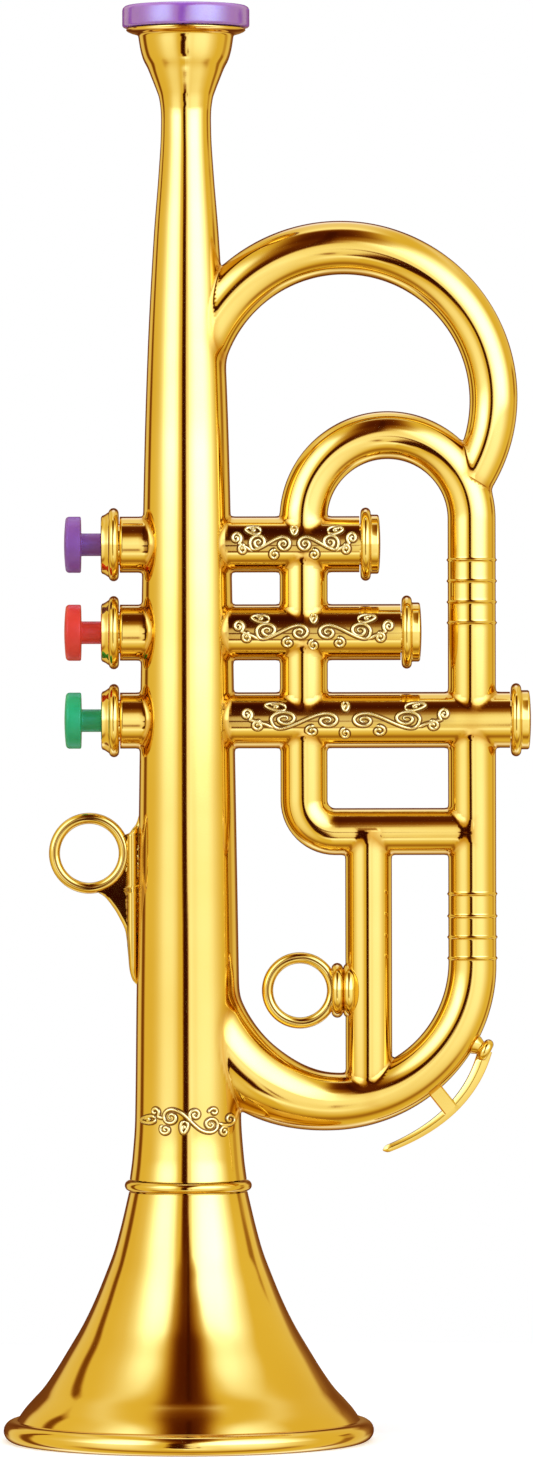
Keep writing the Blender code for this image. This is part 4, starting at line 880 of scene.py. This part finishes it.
ring = dict(
    reach=-25.2, height=150.7, radius=8.95, wire=1.42, sides=72, steps=180, groove=0.14, grooveWidth=0.16,
    lineWidth=0.24, hollowFrom=(127, 6), hollowTo=(144, 2), lines=(119, 156), hollowShade=0.75, lineShade=0.8,
    hollowEdge=(0.5, 1.6), lineWidths=(0.22, 0.28), nearRing=0.3, lineDeep=0.8,
    finRows=96, closeRows=(155.0, 157.0, 13), finColumns=30, finCurve=1.3, inTrunk=2.5, webFade=0.8,
    ribStart=5, ribEnd=(157.6, 1.6),
    ribReach=-14.2, ribWidth=1.2, ribProud=1.3, web=0.95, rim=0.02, finTop=163.0, finFoot=116.6,
    edge=((116.6, -12.8), (118.2, -14.2), (121.1, -15.0), (124.5, -15.3), (130.2, -15.9), (134.8, -17.9),
          (138.0, -20.0), (139.6, -21.4), (140.6, -23.0)),
    topEdge=((155.4, -16.2), (155.9, -14.9), (156.9, -14.2), (158.2, -13.2), (160.4, -12.5), (163.0, -11.9)),
)


def roundRing(sizes):
    a, b = fullTurn(ring["steps"])[:, None], fullTurn(ring["sides"])[None, :]
    wire = sizes["wire"] - ring["groove"] * hump(np.cos(b), 0, ring["grooveWidth"])
    r = sizes["radius"] + wire * np.cos(b)
    x, z = sizes["reach"] + r * np.cos(a), sizes["height"] + r * np.sin(a)
    return closedSurface(np.stack([x, wire * np.sin(b) + 0 * a, z], -1), True)


def grooveShade(p, sizes):
    # painted shade along the groove that runs round a ring's front and back
    x, y, z = p.T
    off = np.hypot(x - sizes["reach"], z - sizes["height"]) - sizes["radius"]
    return np.where(np.abs(y) > ring["lineDeep"], hump(off, 0, ring["lineWidth"], 4), 0)


def finShade(p):
    # painted shade in the hollow between the ring and the rib, and painted dark lines of shade along the feet of the
    # rib
    x, y, z = p.T
    reach, height, radius, wire, rib, wide, edge = pick(ring, "reach height radius wire ribReach ribWidth edge")
    onRing = np.abs(np.hypot(np.hypot(x - reach, z - height) - radius, y) - wire) < ring["nearRing"]
    left = smoothCurve(edge, np.clip(z, edge[0][0], edge[-1][0]))
    hollow = rising(x - left, *ring["hollowEdge"]) * (x < rib - wide)
    (low, lowFade), (high, highFade), (foot, top) = pick(ring, "hollowFrom hollowTo lines")
    hollow = hollow * rising(z, low, lowFade) * falling(z, high, highFade)
    leftLine, rightLine = ring["lineWidths"]
    lines = hump(x, rib - wide, leftLine) + hump(x - rib, wide, rightLine)
    lines = lines * (z > foot) * (z < top)
    return np.where(onRing, 0, np.clip(ring["hollowShade"] * hollow + ring["lineShade"] * lines, 0, 1))


def finShape():
    # at each height a flat loop from the fin's outer edge into the trunk: a thin web with a raised rib
    foot, top, low, high, rim, columns = pick(ring, "finFoot finTop edge topEdge rim finColumns")
    z = np.unique(np.r_[np.linspace(foot, top, ring["finRows"]), np.linspace(*ring["closeRows"])])
    left = smoothCurve(low, np.clip(z, low[0][0], low[-1][0]))
    inRing = (z > low[-1][0]) & (z < high[0][0])
    across = np.sqrt(np.maximum(ring["radius"] ** 2 - (z - ring["height"]) ** 2, 0))
    left = np.where(inRing, ring["reach"] + across, left)
    left = np.where(z >= high[0][0], smoothCurve(high, np.clip(z, high[0][0], high[-1][0])), left)[:, None]
    z = z[:, None]
    right = -trunkRadius(z) + ring["inTrunk"]
    x = left + (right - left) * np.linspace(0, 1, columns)[None, :] ** ring["finCurve"]
    rise = rising(z, foot, ring["ribStart"]) * falling(z, *ring["ribEnd"]) ** 0.5
    thick = ring["web"] * np.sqrt(rising(x, left, ring["webFade"]))
    bulge = np.sqrt(np.clip(1 - ((x - ring["ribReach"]) / ring["ribWidth"]) ** 2, 0, 1))
    deep = np.maximum(thick, rim) + ring["ribProud"] * rise ** 0.6 * bulge
    deep[:, 0] = rim
    front, back = (np.stack([x, side * deep, np.repeat(z, columns, 1)], -1) for side in (-1, 1))
    return closedSurface(np.concatenate([front, back[:, ::-1]], 1))


pull = dict(reach=28.77, height=115.4, radius=8.35, wire=1.45, beadFrom=36.82, beadThickness=3.0, beadRadius=7.05,
            beadRoot=4.6, beadSides=72)


def beadProfile():
    start, thick, half = pull["beadFrom"], pull["beadThickness"], pull["beadThickness"] / 2
    first = arcAlong(start + half, pull["beadRadius"] - half, half, 180, 8, 15)[1:]
    return np.vstack([[(0, start), (pull["beadRoot"], start)], first, first + [0, thick], [(0, start + 2 * thick)]])


beads = turnedSolid(beadProfile(), pull["beadSides"], "x", pull["height"])
for name, node, sizes, other in (("fingerRing", "finger_ring", ring, finShape()),
                                 ("pullRing", "pull_ring", pull, beads)):
    mesh = combined(meshFrom(name, roundRing(sizes)), ("UNION", meshFrom("other", other)))
    p = meshPoints(mesh)
    # painted shade along the groove, and on the finger ring in the fin's hollow and along the rib's feet
    shade = grooveShade(p, sizes)
    paint(mesh, 0, np.maximum(shade, finShade(p)) if sizes is ring else shade * (p[:, 0] < pull["beadFrom"]))
    addPiece(name, mesh, goldShell, [node])
print("rings made")


# water key

key = dict(postAngle=51.6, postWidth=3.9, postDepth=3.4, postLength=6.4, knobAngle=30.2, knobRadius=3.1,
           knobThickness=2.6, neckRadius=2.4, neckLength=1.8, leverWidth=1.85, tipWidth=0.95, tipAngle=75.5,
           tipStandoff=14.2, bevel=0.35, leverDepth=0.85, root=1.3, leverRows=60, postRows=12,
           tipFade=0.025, tipShare=0.15,
           leverSection=((1, 0.3), (0.9, 0.52), (0.1, 1.0), (-0.1, 1.0), (-0.9, 0.52), (-1, 0.3)),
           neckFoot=((0.5, -1.3), (0.2, 0), (0, 0.6)))


def bowPoint(degrees, distance):
    a = math.radians(degrees)
    return np.array([form["bowReach"] + distance * math.cos(a), form["bowHeight"] - distance * math.sin(a)])


def leverShape():
    # a bent bar along a quadratic curve; each section has a ridge in front and behind and blunt edges
    wide, narrow, knobAngle, postAngle, tipAngle = pick(key, "leverWidth tipWidth knobAngle postAngle tipAngle")
    start = bowPoint(knobAngle, bowSkin + key["neckLength"] + key["knobThickness"] / 2)
    middle = bowPoint(postAngle, bowSkin + key["postLength"])
    end = bowPoint(tipAngle, form["bowRadius"] + key["tipStandoff"])
    control = 2 * middle - (start + end) / 2
    t = np.linspace(0, 1, key["leverRows"])[:, None]
    line = (1 - t) ** 2 * start + 2 * t * (1 - t) * control + t ** 2 * end
    width = blend(wide, narrow, t) * np.maximum(np.sqrt(falling(t, 1, key["tipFade"])), key["tipShare"])
    section = np.array(key["leverSection"])
    section = np.vstack([section, -section])
    return closedSurface(swept(line, section[:, 0] * width, section[:, 1] * width * key["leverDepth"]))


def radialPiece(rows, degrees):
    # rows made along x are turned about the bow's middle to their angle
    a = math.radians(degrees)
    x, y, z = np.moveaxis(rows, -1, 0)
    return np.stack([form["bowReach"] + x * math.cos(a) + z * math.sin(a), y,
                     form["bowHeight"] - x * math.sin(a) + z * math.cos(a)], -1)


def postShape():
    # a bar with bevelled long edges, from inside the bow's wall to the lever
    w, d, c = key["postWidth"] / 2, key["postDepth"] / 2, key["bevel"]
    outline = np.array([(w, d - c), (w - c, d), (c - w, d), (-w, d - c)])
    outline = np.vstack([outline, -outline])
    reach = np.linspace(bowSkin - key["root"], bowSkin + key["postLength"], key["postRows"])
    rows = [[(x, y, z) for z, y in outline] for x in reach]
    return closedSurface(radialPiece(np.array(rows), key["postAngle"]))


def knobShape():
    neck, knob, thick = pick(key, "neckRadius knobRadius knobThickness")
    start, half = bowSkin + key["neckLength"], thick / 2
    profile = np.vstack([[(neck + out, bowSkin + up) for out, up in key["neckFoot"]],
                         arcAlong(start + half, knob - half, half, 180, 0, 15),
                         [(knob - half - 0.6, start + 2 * half + 0.05), (0.3, start + 2 * half + 0.1)]])
    return closedSurface(radialPiece(turned(profile, 40, "x"), key["knobAngle"]))


keyMesh = combined(meshFrom("lever", leverShape()), ("UNION", meshFrom("post", postShape())),
                   ("UNION", meshFrom("knob", knobShape())))
addPiece("waterKey", keyMesh, gold, ["water_key"], sharp=28)
print("water key made")


# scroll ornament

scroll = dict(
    height=0.50, sink=0.12, skirt=0.70, growth=9, tip=0.35,
    # the middle column of the section is how much painted shade each point takes at the ridge's foot
    section=((-1, 1, -1), (-1, 1, .08), (-.6, 1, .14), (-.52, .4, .55), (-.26, 0, .92), (.0, 0, 1), (.26, 0, .92),
             (.52, .4, .55), (.6, 1, .14), (1, 1, .08), (1, 1, -1)),
)


def spiral(u, v, wide, tall, fromDegrees, turns, tight=0.12, count=46):
    # radius shrinks evenly from the outside to a small eye while the angle runs on
    t = np.linspace(0, 1, count)
    a = np.radians(fromDegrees) + 2 * np.pi * turns * t
    r = 1 - (1 - tight) * t ** 0.9
    return np.c_[u + wide * r * np.cos(a), v + tall * r * np.sin(a)]


def joinedBySweep(first, second, count=34):
    # cubic that leaves the first line and enters the second in their own directions
    p0, p1 = first[-1], second[0]
    span = np.linalg.norm(p1 - p0)
    d0, d1 = first[-1] - first[-2], second[1] - second[0]
    d0, d1 = d0 / np.linalg.norm(d0) * span, d1 / np.linalg.norm(d1) * span
    t = np.linspace(0, 1, count)[1:-1, None]
    middle = (2 * t ** 3 - 3 * t ** 2 + 1) * p0 + (t ** 3 - 2 * t ** 2 + t) * d0
    middle = middle + (3 * t ** 2 - 2 * t ** 3) * p1 + (t ** 3 - t ** 2) * d1
    return np.vstack([first, middle, second])


def evenly(line, step=0.16):
    # the same line with points at even distances along it
    run = np.r_[0, np.cumsum(np.linalg.norm(np.diff(line, axis=0), axis=1))]
    places = np.linspace(0, run[-1], max(8, int(run[-1] / step)))
    return np.c_[np.interp(places, run, line[:, 0]), np.interp(places, run, line[:, 1])]


def leafLines(u, v, half, tall, tilt):
    # a closed drop and a vein inside it
    a = np.linspace(0, 2 * np.pi, 60)
    pointed = np.c_[half * np.cos(a), tall * np.sin(a) * (0.55 + 0.45 * np.cos(a / 2) ** 2)]
    vein = spiral(-0.1 * half, 0, 0.5 * half, 0.42 * tall, 150, -0.9)
    c, s = math.cos(math.radians(tilt)), math.sin(math.radians(tilt))
    return [line @ np.array([[c, s], [-s, c]]) + [u, v] for line in (pointed, vein)]


def casingPattern(half, bottomRing):
    # one side of the vine, from its end towards the middle; the other side is its mirror image
    stretch = half / 15
    outerEye = spiral(-0.61 * half, 0.35, 2.25 * stretch ** 0.9, 2.15, 205, -1.75)[::-1]
    innerEye = spiral(-0.185 * half, -0.1, 2.05 * stretch ** 0.8, 1.95, 120, -1.7)
    end = spiral(-0.99 * half, 1.5, 1.45, 1.6, -60, 1.6)[::-1]
    lines = [
        joinedBySweep(outerEye, innerEye),
        np.vstack([end, [(-0.80 * half, -1.0), (-0.72 * half, -1.9)]]),
        spiral(-0.875 * half, -1.4, 1.25 * stretch ** 0.5, 1.3, 60, 1.5),
        *leafLines(-0.70 * half, 3.45, 1.9 * stretch ** 0.6, 1.15, -8),
        spiral(-0.335 * half, -2.7, 1.35 * stretch ** 0.6, 1.3, 70, 1.5),
    ]
    lines += [line * [-1, 1] for line in lines] + leafLines(0, 3.5, 1.1, 0.95, 90)
    return lines + [spiral(0, -3.3, 1.35, 1.35, 90, 1.6)] * bottomRing


def trunkPattern():
    leftTail = spiral(-8.3, 84.9, 1.1, 1.1, -30, 1.1)[::-1]
    rightTail = spiral(10.6, 82.9, 1.4, 1.5, -100, 1.4)[::-1]
    return [
        joinedBySweep(spiral(-4.2, 83.5, 2.3, 2.2, 60, 1.6)[::-1], spiral(5.8, 81.7, 2.2, 2.1, -110, 1.6)),
        spiral(1.9, 84.2, 1.6, 1.6, -120, -1.6),
        *leafLines(-0.9, 81.0, 1.5, 1.15, 80),
        spiral(-5.6, 80.4, 1.45, 1.35, 120, 1.5),
        joinedBySweep(leftTail, np.array([(-7.4, 83.6), (-6.0, 83.3)])),
        *leafLines(-10.0, 82.8, 1.9, 1.05, 8),
        spiral(6.6, 84.9, 1.3, 1.1, 200, -1.2),
        joinedBySweep(rightTail, np.array([(8.6, 81.6), (7.9, 82.0)])),
        spiral(9.2, 79.8, 1.3, 1.35, 40, 1.4),
    ]


def ridgeOn(line, radius, place, onTrunk, side):
    # the line is laid on a round surface and a half-round ridge follows it, thinner towards both ends
    line = evenly(line)
    u, v = line.T
    if onTrunk:
        r = trunkRadius(v)
        base = np.c_[u, side * np.sqrt(np.maximum(r ** 2 - u ** 2, 0.1)), v]
        out = np.c_[base[:, :2], np.zeros(len(u))] / r[:, None]
    else:
        y = side * np.sqrt(np.maximum(radius ** 2 - v ** 2, 0.1))
        base = np.c_[u + place[0], y, v + place[1]]
        out = np.c_[np.zeros(len(u)), y, v] / radius
    across = np.cross(unitSteps(base), out)
    across /= np.linalg.norm(across, axis=1)[:, None]
    t = np.linspace(0, 1, len(u))
    size = np.clip(np.minimum(t, 1 - t) * scroll["growth"] + scroll["tip"], 0, 1)[:, None, None]
    aside, _, lift = np.array(scroll["section"]).T
    sideways = aside[None, :, None] * scroll["skirt"] * size * across[:, None]
    rise = np.where(lift > 0, lift * scroll["height"], lift * scroll["sink"])
    return closedSurface(base[:, None] + sideways + rise[None, :, None] * size * out[:, None])


def scrollPiece(name, ridges):
    # painted shade darkens the foot of each ridge; its crest is left untinted
    mesh = meshFrom("scrolls", *ridges)
    foot = np.array(scroll["section"])[:, 1]
    dark = [np.r_[np.tile(foot, (len(points) - 2) // len(foot)), 1, 1] for points, _, _ in ridges]
    paint(mesh, np.concatenate(dark), 0)
    addPiece(name, mesh, goldScroll, sharp=60)


for row, label in enumerate(("Upper", "Middle", "Lower")):
    middle, half = form["panels"][row]
    place = (middle, form["valveHeights"][row])
    ridges = [ridgeOn(line, form["casingRadius"], place, False, side)
              for side in (-1, 1) for line in casingPattern(half, row > 0)]
    scrollPiece("scrolls%s" % label, ridges)
ridges = [ridgeOn(line, 0, (0, 0), True, side) for side in (-1, 1) for line in trunkPattern()]
scrollPiece("scrollsTrunk", ridges)
print("scroll ornament made")


# finishes of the solids that stay

stayFinish = {"reed_carrier": ivory, "reed_plate": brass}
for name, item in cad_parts.items():
    for start, finish in stayFinish.items():
        if name.startswith(start):
            item.data.materials.clear()
            item.data.materials.append(finish)


# studio

studio = dict(
    floorColour=(0.86, 0.86, 0.86), floorGlow=0.35, floorRadius=0.32, floorRings=12, floorSides=48,
    worldDiffuse=0.5, surroundStep=0.6, surroundRows=(-89.5, 89.5, 300),
    surroundRadius=1.5, surroundHeight=0.2, wall=(0.94, 0.85, 0.40), boxTint=(0.26, 0.50, 1.9),
    shade=(0.05, 0.010, 0.004), fade=(1.0, 1.5, 2.0),
    leftBox=((-180, 0), (-110, 0), (-88, .05), (-76, .2), (-66, .5), (-56, .87), (-47, 1), (-38, .97), (-28, .58),
             (-19, .05), (-14, 0), (180, 0)),
    leftHeight=((-90, 0), (-60, 0), (-45, .5), (-30, 1.0), (-12, 1.35), (-1.5, 1.7), (.3, 2.2), (2.3, 3.5), (5, 4.6),
                (8.4, 5.8), (13, 5.2), (36, 4.6), (42, 3.6), (48, 1.8), (54, .7), (60, .2), (70, 0), (90, 0)),
    rightBox=((-180, 0), (3, 0), (8, .3), (17, .75), (26, .95), (36, 1), (45, 1), (54, .87), (66, .5), (80, .15),
              (92, 0), (180, 0)),
    rightHeight=((-90, 0), (-60, 0), (-45, .6), (-30, 1.2), (-12, 1.8), (-1, 2.0), (.3, 2.9), (2.3, 5.0), (5, 6.2),
                 (13, 6.6), (34, 5.6), (40, 4.6), (46, 2.4), (52, 1.3), (57, .7), (63, .1), (70, 0), (90, 0)),
    middleBox=((-180, 0), (-3.4, 0), (-2.6, .8), (0, 1), (6, 1), (12, .4), (18, 0), (180, 0)),
    middleHeight=((-180, 0), (-62, 0), (-50, .3), (-38, .9), (-24, .8), (-12, 1.2), (0, 1.4), (12, 1.1), (22, .7),
                  (30, .5), (38, 0), (180, 0)),
    ceiling=(50, 7, .5, -3, 24), cupSpot=(-2.8, -38, 9, 4.5, 1.5), bottomBand=(-118, 9, 2.0),
    topBand=((-180, 0), (78, 0), (84, 1.3), (88, 1.8), (93, 1.5), (104, .8), (120, .7), (136, 1.6), (146, .9),
             (158, 0), (180, 0)),
    gapMiddle=((-180, -5), (-34, -4), (-30, -4), (-24, -7.5), (-9, -7.5), (-6, -5), (-3, -5), (-1, -7.7), (9, -7.7),
               (14, -6.5), (18, -5.8), (24, -4.8), (30, -4.4), (38, -3.4), (46, -2.8), (56, -2), (180, -2)),
    gapWidth=((-180, 5), (-30, 5.5), (-24, 6.3), (-9, 6.3), (-6, 6.5), (-3, 6.5), (-1, 6.1), (14, 6.1), (18, 6.4),
              (24, 7.4), (30, 8.2), (37, 11.8), (44, 13.2), (54, 15), (180, 15)),
    gapPower=((-180, 6), (14, 6), (24, 4), (32, 3), (38, 2.4), (44, 2.6), (54, 4), (180, 4)),
    gapDark=((-180, 0), (-36, 0), (-34, .3), (-32, .9), (-26, 1), (14, 1), (18, .94), (24, .92), (30, .9),
             (38, .9), (46, .93), (56, .95), (74, .92), (80, .75), (84, .3), (88, 0), (180, 0)),
    gapClear=((-180, .1), (22, .1), (30, 9.5), (38, 14.5), (50, 18.5), (61, 23), (76, 26), (84, 20), (88, 0.1),
              (180, .1)), clearMiddle=-1.8,
    coreDark=((-180, 0), (16, 0), (20, .7), (66, .8), (76, 0), (180, 0)), core=(-.6, 1.6),
    lowDark=(-72, 10, .55), sleeveDark=(5.2, -22, 1.3, 5, .7),
    edgeDark=((-180, .45), (-165, .8), (-152, .8), (-146, .1), (-141, 0), (139, 0), (148, .6), (160, .75),
              (180, .45)),
    leftStreak=(-120.8, .8, 35, 6), streakFoot=(-55, 10), leftStreakWidth=((-90, 7.5), (3, 7.5), (12, 5), (90, 5)),
    rightStreak=(118, 7, .6), rightStreakHeight=((-90, 0), (-55, 0), (-45, 1), (-12, 1), (-7, .5), (3.5, .5), (6, 1),
                                                 (11, 1), (14, 0), (90, 0)),
    frontEnd=(60, 15), edgeEnd=(20, 8), backStart=(150, 15), topWide=14, bottomWide=40,
    backDark=((-90, .3), (-60, .2), (-20, .9), (-8, .5), (0, .3), (10, .4), (20, .9), (34, .9), (44, .15), (52, 0),
              (90, 0)),
)


def tableCurve(name, places):
    return smoothCurve(studio[name], places)


def surroundGlow(d):
    # brightness of the studio in each direction: warm walls, soft boxes, a dark gap between them and dark edges
    x, y, z = d.T
    turn, rise = np.degrees(np.arctan2(x, -y)), np.degrees(np.arcsin(np.clip(z, -1, 1)))
    across, pitch = np.degrees(np.arcsin(np.clip(x, -1, 1))), np.degrees(np.arctan2(z, -y))
    inFront = falling(np.abs(across), *studio["frontEnd"])
    light = tableCurve("leftBox", turn) * tableCurve("leftHeight", rise)
    light += tableCurve("rightBox", turn) * tableCurve("rightHeight", rise)
    lift, tall, level, aside, clear = studio["ceiling"]
    light += level * hump(rise, lift, tall) * (1 - hump(across, aside, clear, 8))
    light *= 1 - hump(across, studio["clearMiddle"], tableCurve("gapClear", pitch), 6)  # dark between the boxes
    light += tableCurve("middleBox", across) * tableCurve("middleHeight", pitch)
    spotTurn, spotPitch, spotWide, spotTall, spotLevel = studio["cupSpot"]
    light += spotLevel * hump(across, spotTurn, spotWide) * hump(pitch, spotPitch, spotTall)
    light += tableCurve("topBand", pitch) * hump(across, 0, studio["topWide"], 4)
    middle, width, level = studio["bottomBand"]
    light += level * hump(pitch, middle, width) * hump(across, 0, studio["bottomWide"], 4)
    gapPlace = tableCurve("gapMiddle", pitch), tableCurve("gapWidth", pitch), tableCurve("gapPower", pitch)
    gap = hump(across, *gapPlace) * tableCurve("gapDark", pitch)
    core = hump(across, *studio["core"], 4) * tableCurve("coreDark", pitch)
    low = studio["lowDark"][2] * hump(pitch, *studio["lowDark"][:2]) * inFront
    lineTurn, linePitch, lineWide, lineTall, lineLevel = studio["sleeveDark"]
    line = lineLevel * hump(across, lineTurn, lineWide, 4) * hump(pitch, linePitch, lineTall)
    edge = falling(np.abs(rise), *studio["edgeEnd"]) * tableCurve("edgeDark", turn)
    streakTurn, streakLevel, streakTop, streakFade = studio["leftStreak"]
    streak = streakLevel * hump(turn, streakTurn, tableCurve("leftStreakWidth", rise), 4)
    streak *= falling(rise, streakTop, streakFade) * rising(rise, *studio["streakFoot"])
    streakTurn, streakWide, streakLevel = studio["rightStreak"]
    streak += streakLevel * hump(turn, streakTurn, streakWide, 4) * tableCurve("rightStreakHeight", rise)
    back = tableCurve("backDark", rise) * rising(np.abs(turn), *studio["backStart"])
    kept = (1 - gap) * (1 - core) * (1 - low) * (1 - line) * (1 - edge) * (1 - back) * (1 - streak)
    bright = np.array(studio["wall"]) + light[:, None] * np.array(studio["boxTint"])
    return bright * kept[:, None] ** np.array(studio["fade"]) + np.array(studio["shade"]) * (1 - kept)[:, None]


def makeSurround():
    # a ball round the object that only reflections see; its glow is worked out at each point
    a, b = np.radians(np.arange(0, 360, studio["surroundStep"])), np.radians(np.linspace(*studio["surroundRows"]))
    d = np.stack([np.sin(a)[None, :] * np.cos(b)[:, None], -np.cos(a)[None, :] * np.cos(b)[:, None],
                  np.sin(b)[:, None] + 0 * a[None, :]], -1)
    points, quads, tris = closedSurface(d)
    mesh = bpy.data.meshes.new("surround")
    placed = points * studio["surroundRadius"] + [0, 0, studio["surroundHeight"]]
    mesh.from_pydata(placed.tolist(), [], quads.tolist() + tris.tolist())
    glow = mesh.attributes.new("glow", "FLOAT_COLOR", "POINT")
    glow.data.foreach_set("color", np.c_[surroundGlow(points), np.ones(len(points))].astype(np.float32).ravel())
    made, tree, surface = newMaterial("surround")
    glow = addNode(tree, "ShaderNodeAttribute", attribute_name="glow")["Color"]
    feed(tree, surface, {"Base Color": (0, 0, 0, 1), "Specular IOR Level": 0, "Roughness": 1,
                         "Emission Color": glow, "Emission Strength": 1})
    made.cycles.emission_sampling = "NONE"
    mesh.materials.append(made)
    item = addObject("surround", mesh)
    for ray in ("camera", "diffuse", "shadow", "transmission", "volume_scatter"):
        setattr(item, "visible_" + ray, False)


def makeFloor():
    # a pale disc made of rings; the camera sees it as bright as the background but for the object's shadow
    count, sides = pick(studio, "floorRings floorSides")
    r, a = np.linspace(0.01, studio["floorRadius"], count)[:, None], fullTurn(sides)
    rings = np.stack([r * np.cos(a), r * np.sin(a), 0 * r + 0 * a], -1)
    mesh = bpy.data.meshes.new("floor")
    points = np.vstack([rings.reshape(-1, 3), [0, 0, 0]])
    middle = [[len(points) - 1, c, (c + 1) % sides] for c in range(sides)]
    mesh.from_pydata(points.tolist(), [], gridQuads(count, sides, False)[:, ::-1].tolist() + middle)
    made, tree, surface = newMaterial("paleFloor")
    cloud = rangeNode(tree, noiseNode(tree, objectPlace(tree), 3, 2), 0, 1)
    colour = studio["floorColour"]
    camera = addNode(tree, "ShaderNodeLightPath")["Is Camera Ray"]
    seen = addNode(tree, "ShaderNodeMath", {0: camera, 1: studio["floorGlow"]}, operation="MULTIPLY")[0]
    feed(tree, surface, {"Base Color": mixColour(tree, cloud, colour, tuple(k * 0.99 for k in colour)),
                         "Roughness": 0.9, "Specular IOR Level": 0.1, "Emission Color": (1, 1, 1, 1),
                         "Emission Strength": seen})
    mesh.materials.append(made)
    item = addObject("floor", mesh)
    item.visible_glossy = False  # the studio's own lower half is what the undersides show


def makeWorld():
    # white where the camera, a reflection or a clear part looks past the object, softer as light
    world = bpy.data.worlds.new("studio")
    bpy.context.scene.world = world
    world.use_nodes = True
    tree = world.node_tree
    path = addNode(tree, "ShaderNodeLightPath")
    total = path["Is Camera Ray"]
    for output in ("Is Glossy Ray", "Is Transmission Ray"):
        total = addNode(tree, "ShaderNodeMath", {0: total, 1: path[output]}, operation="MAXIMUM")[0]
    strength = rangeNode(tree, total, studio["worldDiffuse"], 1, 0, 1)
    feed(tree, tree.nodes["Background"], {"Color": (1, 1, 1, 1), "Strength": strength})


def aimed(item, target):
    direction = Vector(target) - item.location
    item.rotation_euler = direction.to_track_quat("-Z", "Y").to_euler()


def aroundPoint(degrees, distance, height):
    # azimuth 0 is the camera's side, and it grows towards the right
    a = math.radians(degrees)
    return (distance * math.sin(a), -distance * math.cos(a), height)


def softbox(name, place, aim, width, height, power):
    light = bpy.data.lights.new(name, "AREA")
    light.shape, light.size, light.size_y, light.energy = "RECTANGLE", width, height, power
    item = addObject(name, light)
    item.location = place
    aimed(item, (0, 0, aim))
    item.visible_camera = item.visible_glossy = False


makeSurround()
makeFloor()
makeWorld()
for lamp in (("leftBox", aroundPoint(-46, 1.2, 0.62), 0.25, 0.55, 0.9, 4.5),
             ("rightBox", aroundPoint(41, 1.2, 0.62), 0.25, 0.62, 0.9, 4.5),
             ("topBox", (0, -0.1, 1.4), 0.2, 1.0, 0.8, 6.0)):
    softbox(*lamp)
print("studio ready")


# camera

cameraLook = dict(height=0.195, distance=2.17, aimX=0.0, aimZ=0.1799, focal=8462.0, tall=1478.0, roll=-0.12,
                  sensor=36)


def makeCamera():
    data = bpy.data.cameras.new("camera")
    data.sensor_width = cameraLook["sensor"]
    data.lens = cameraLook["sensor"] * cameraLook["focal"] / cameraLook["tall"]
    data.clip_end = 60
    item = addObject("camera", data)
    item.location = (cameraLook["aimX"], -cameraLook["distance"], cameraLook["height"])
    aimed(item, (cameraLook["aimX"], 0, cameraLook["aimZ"]))
    item.rotation_euler.rotate_axis("Z", math.radians(cameraLook["roll"]))
    bpy.context.scene.camera = item


makeCamera()
bpy.context.scene.view_settings.view_transform = "Standard"
print("scene ready")
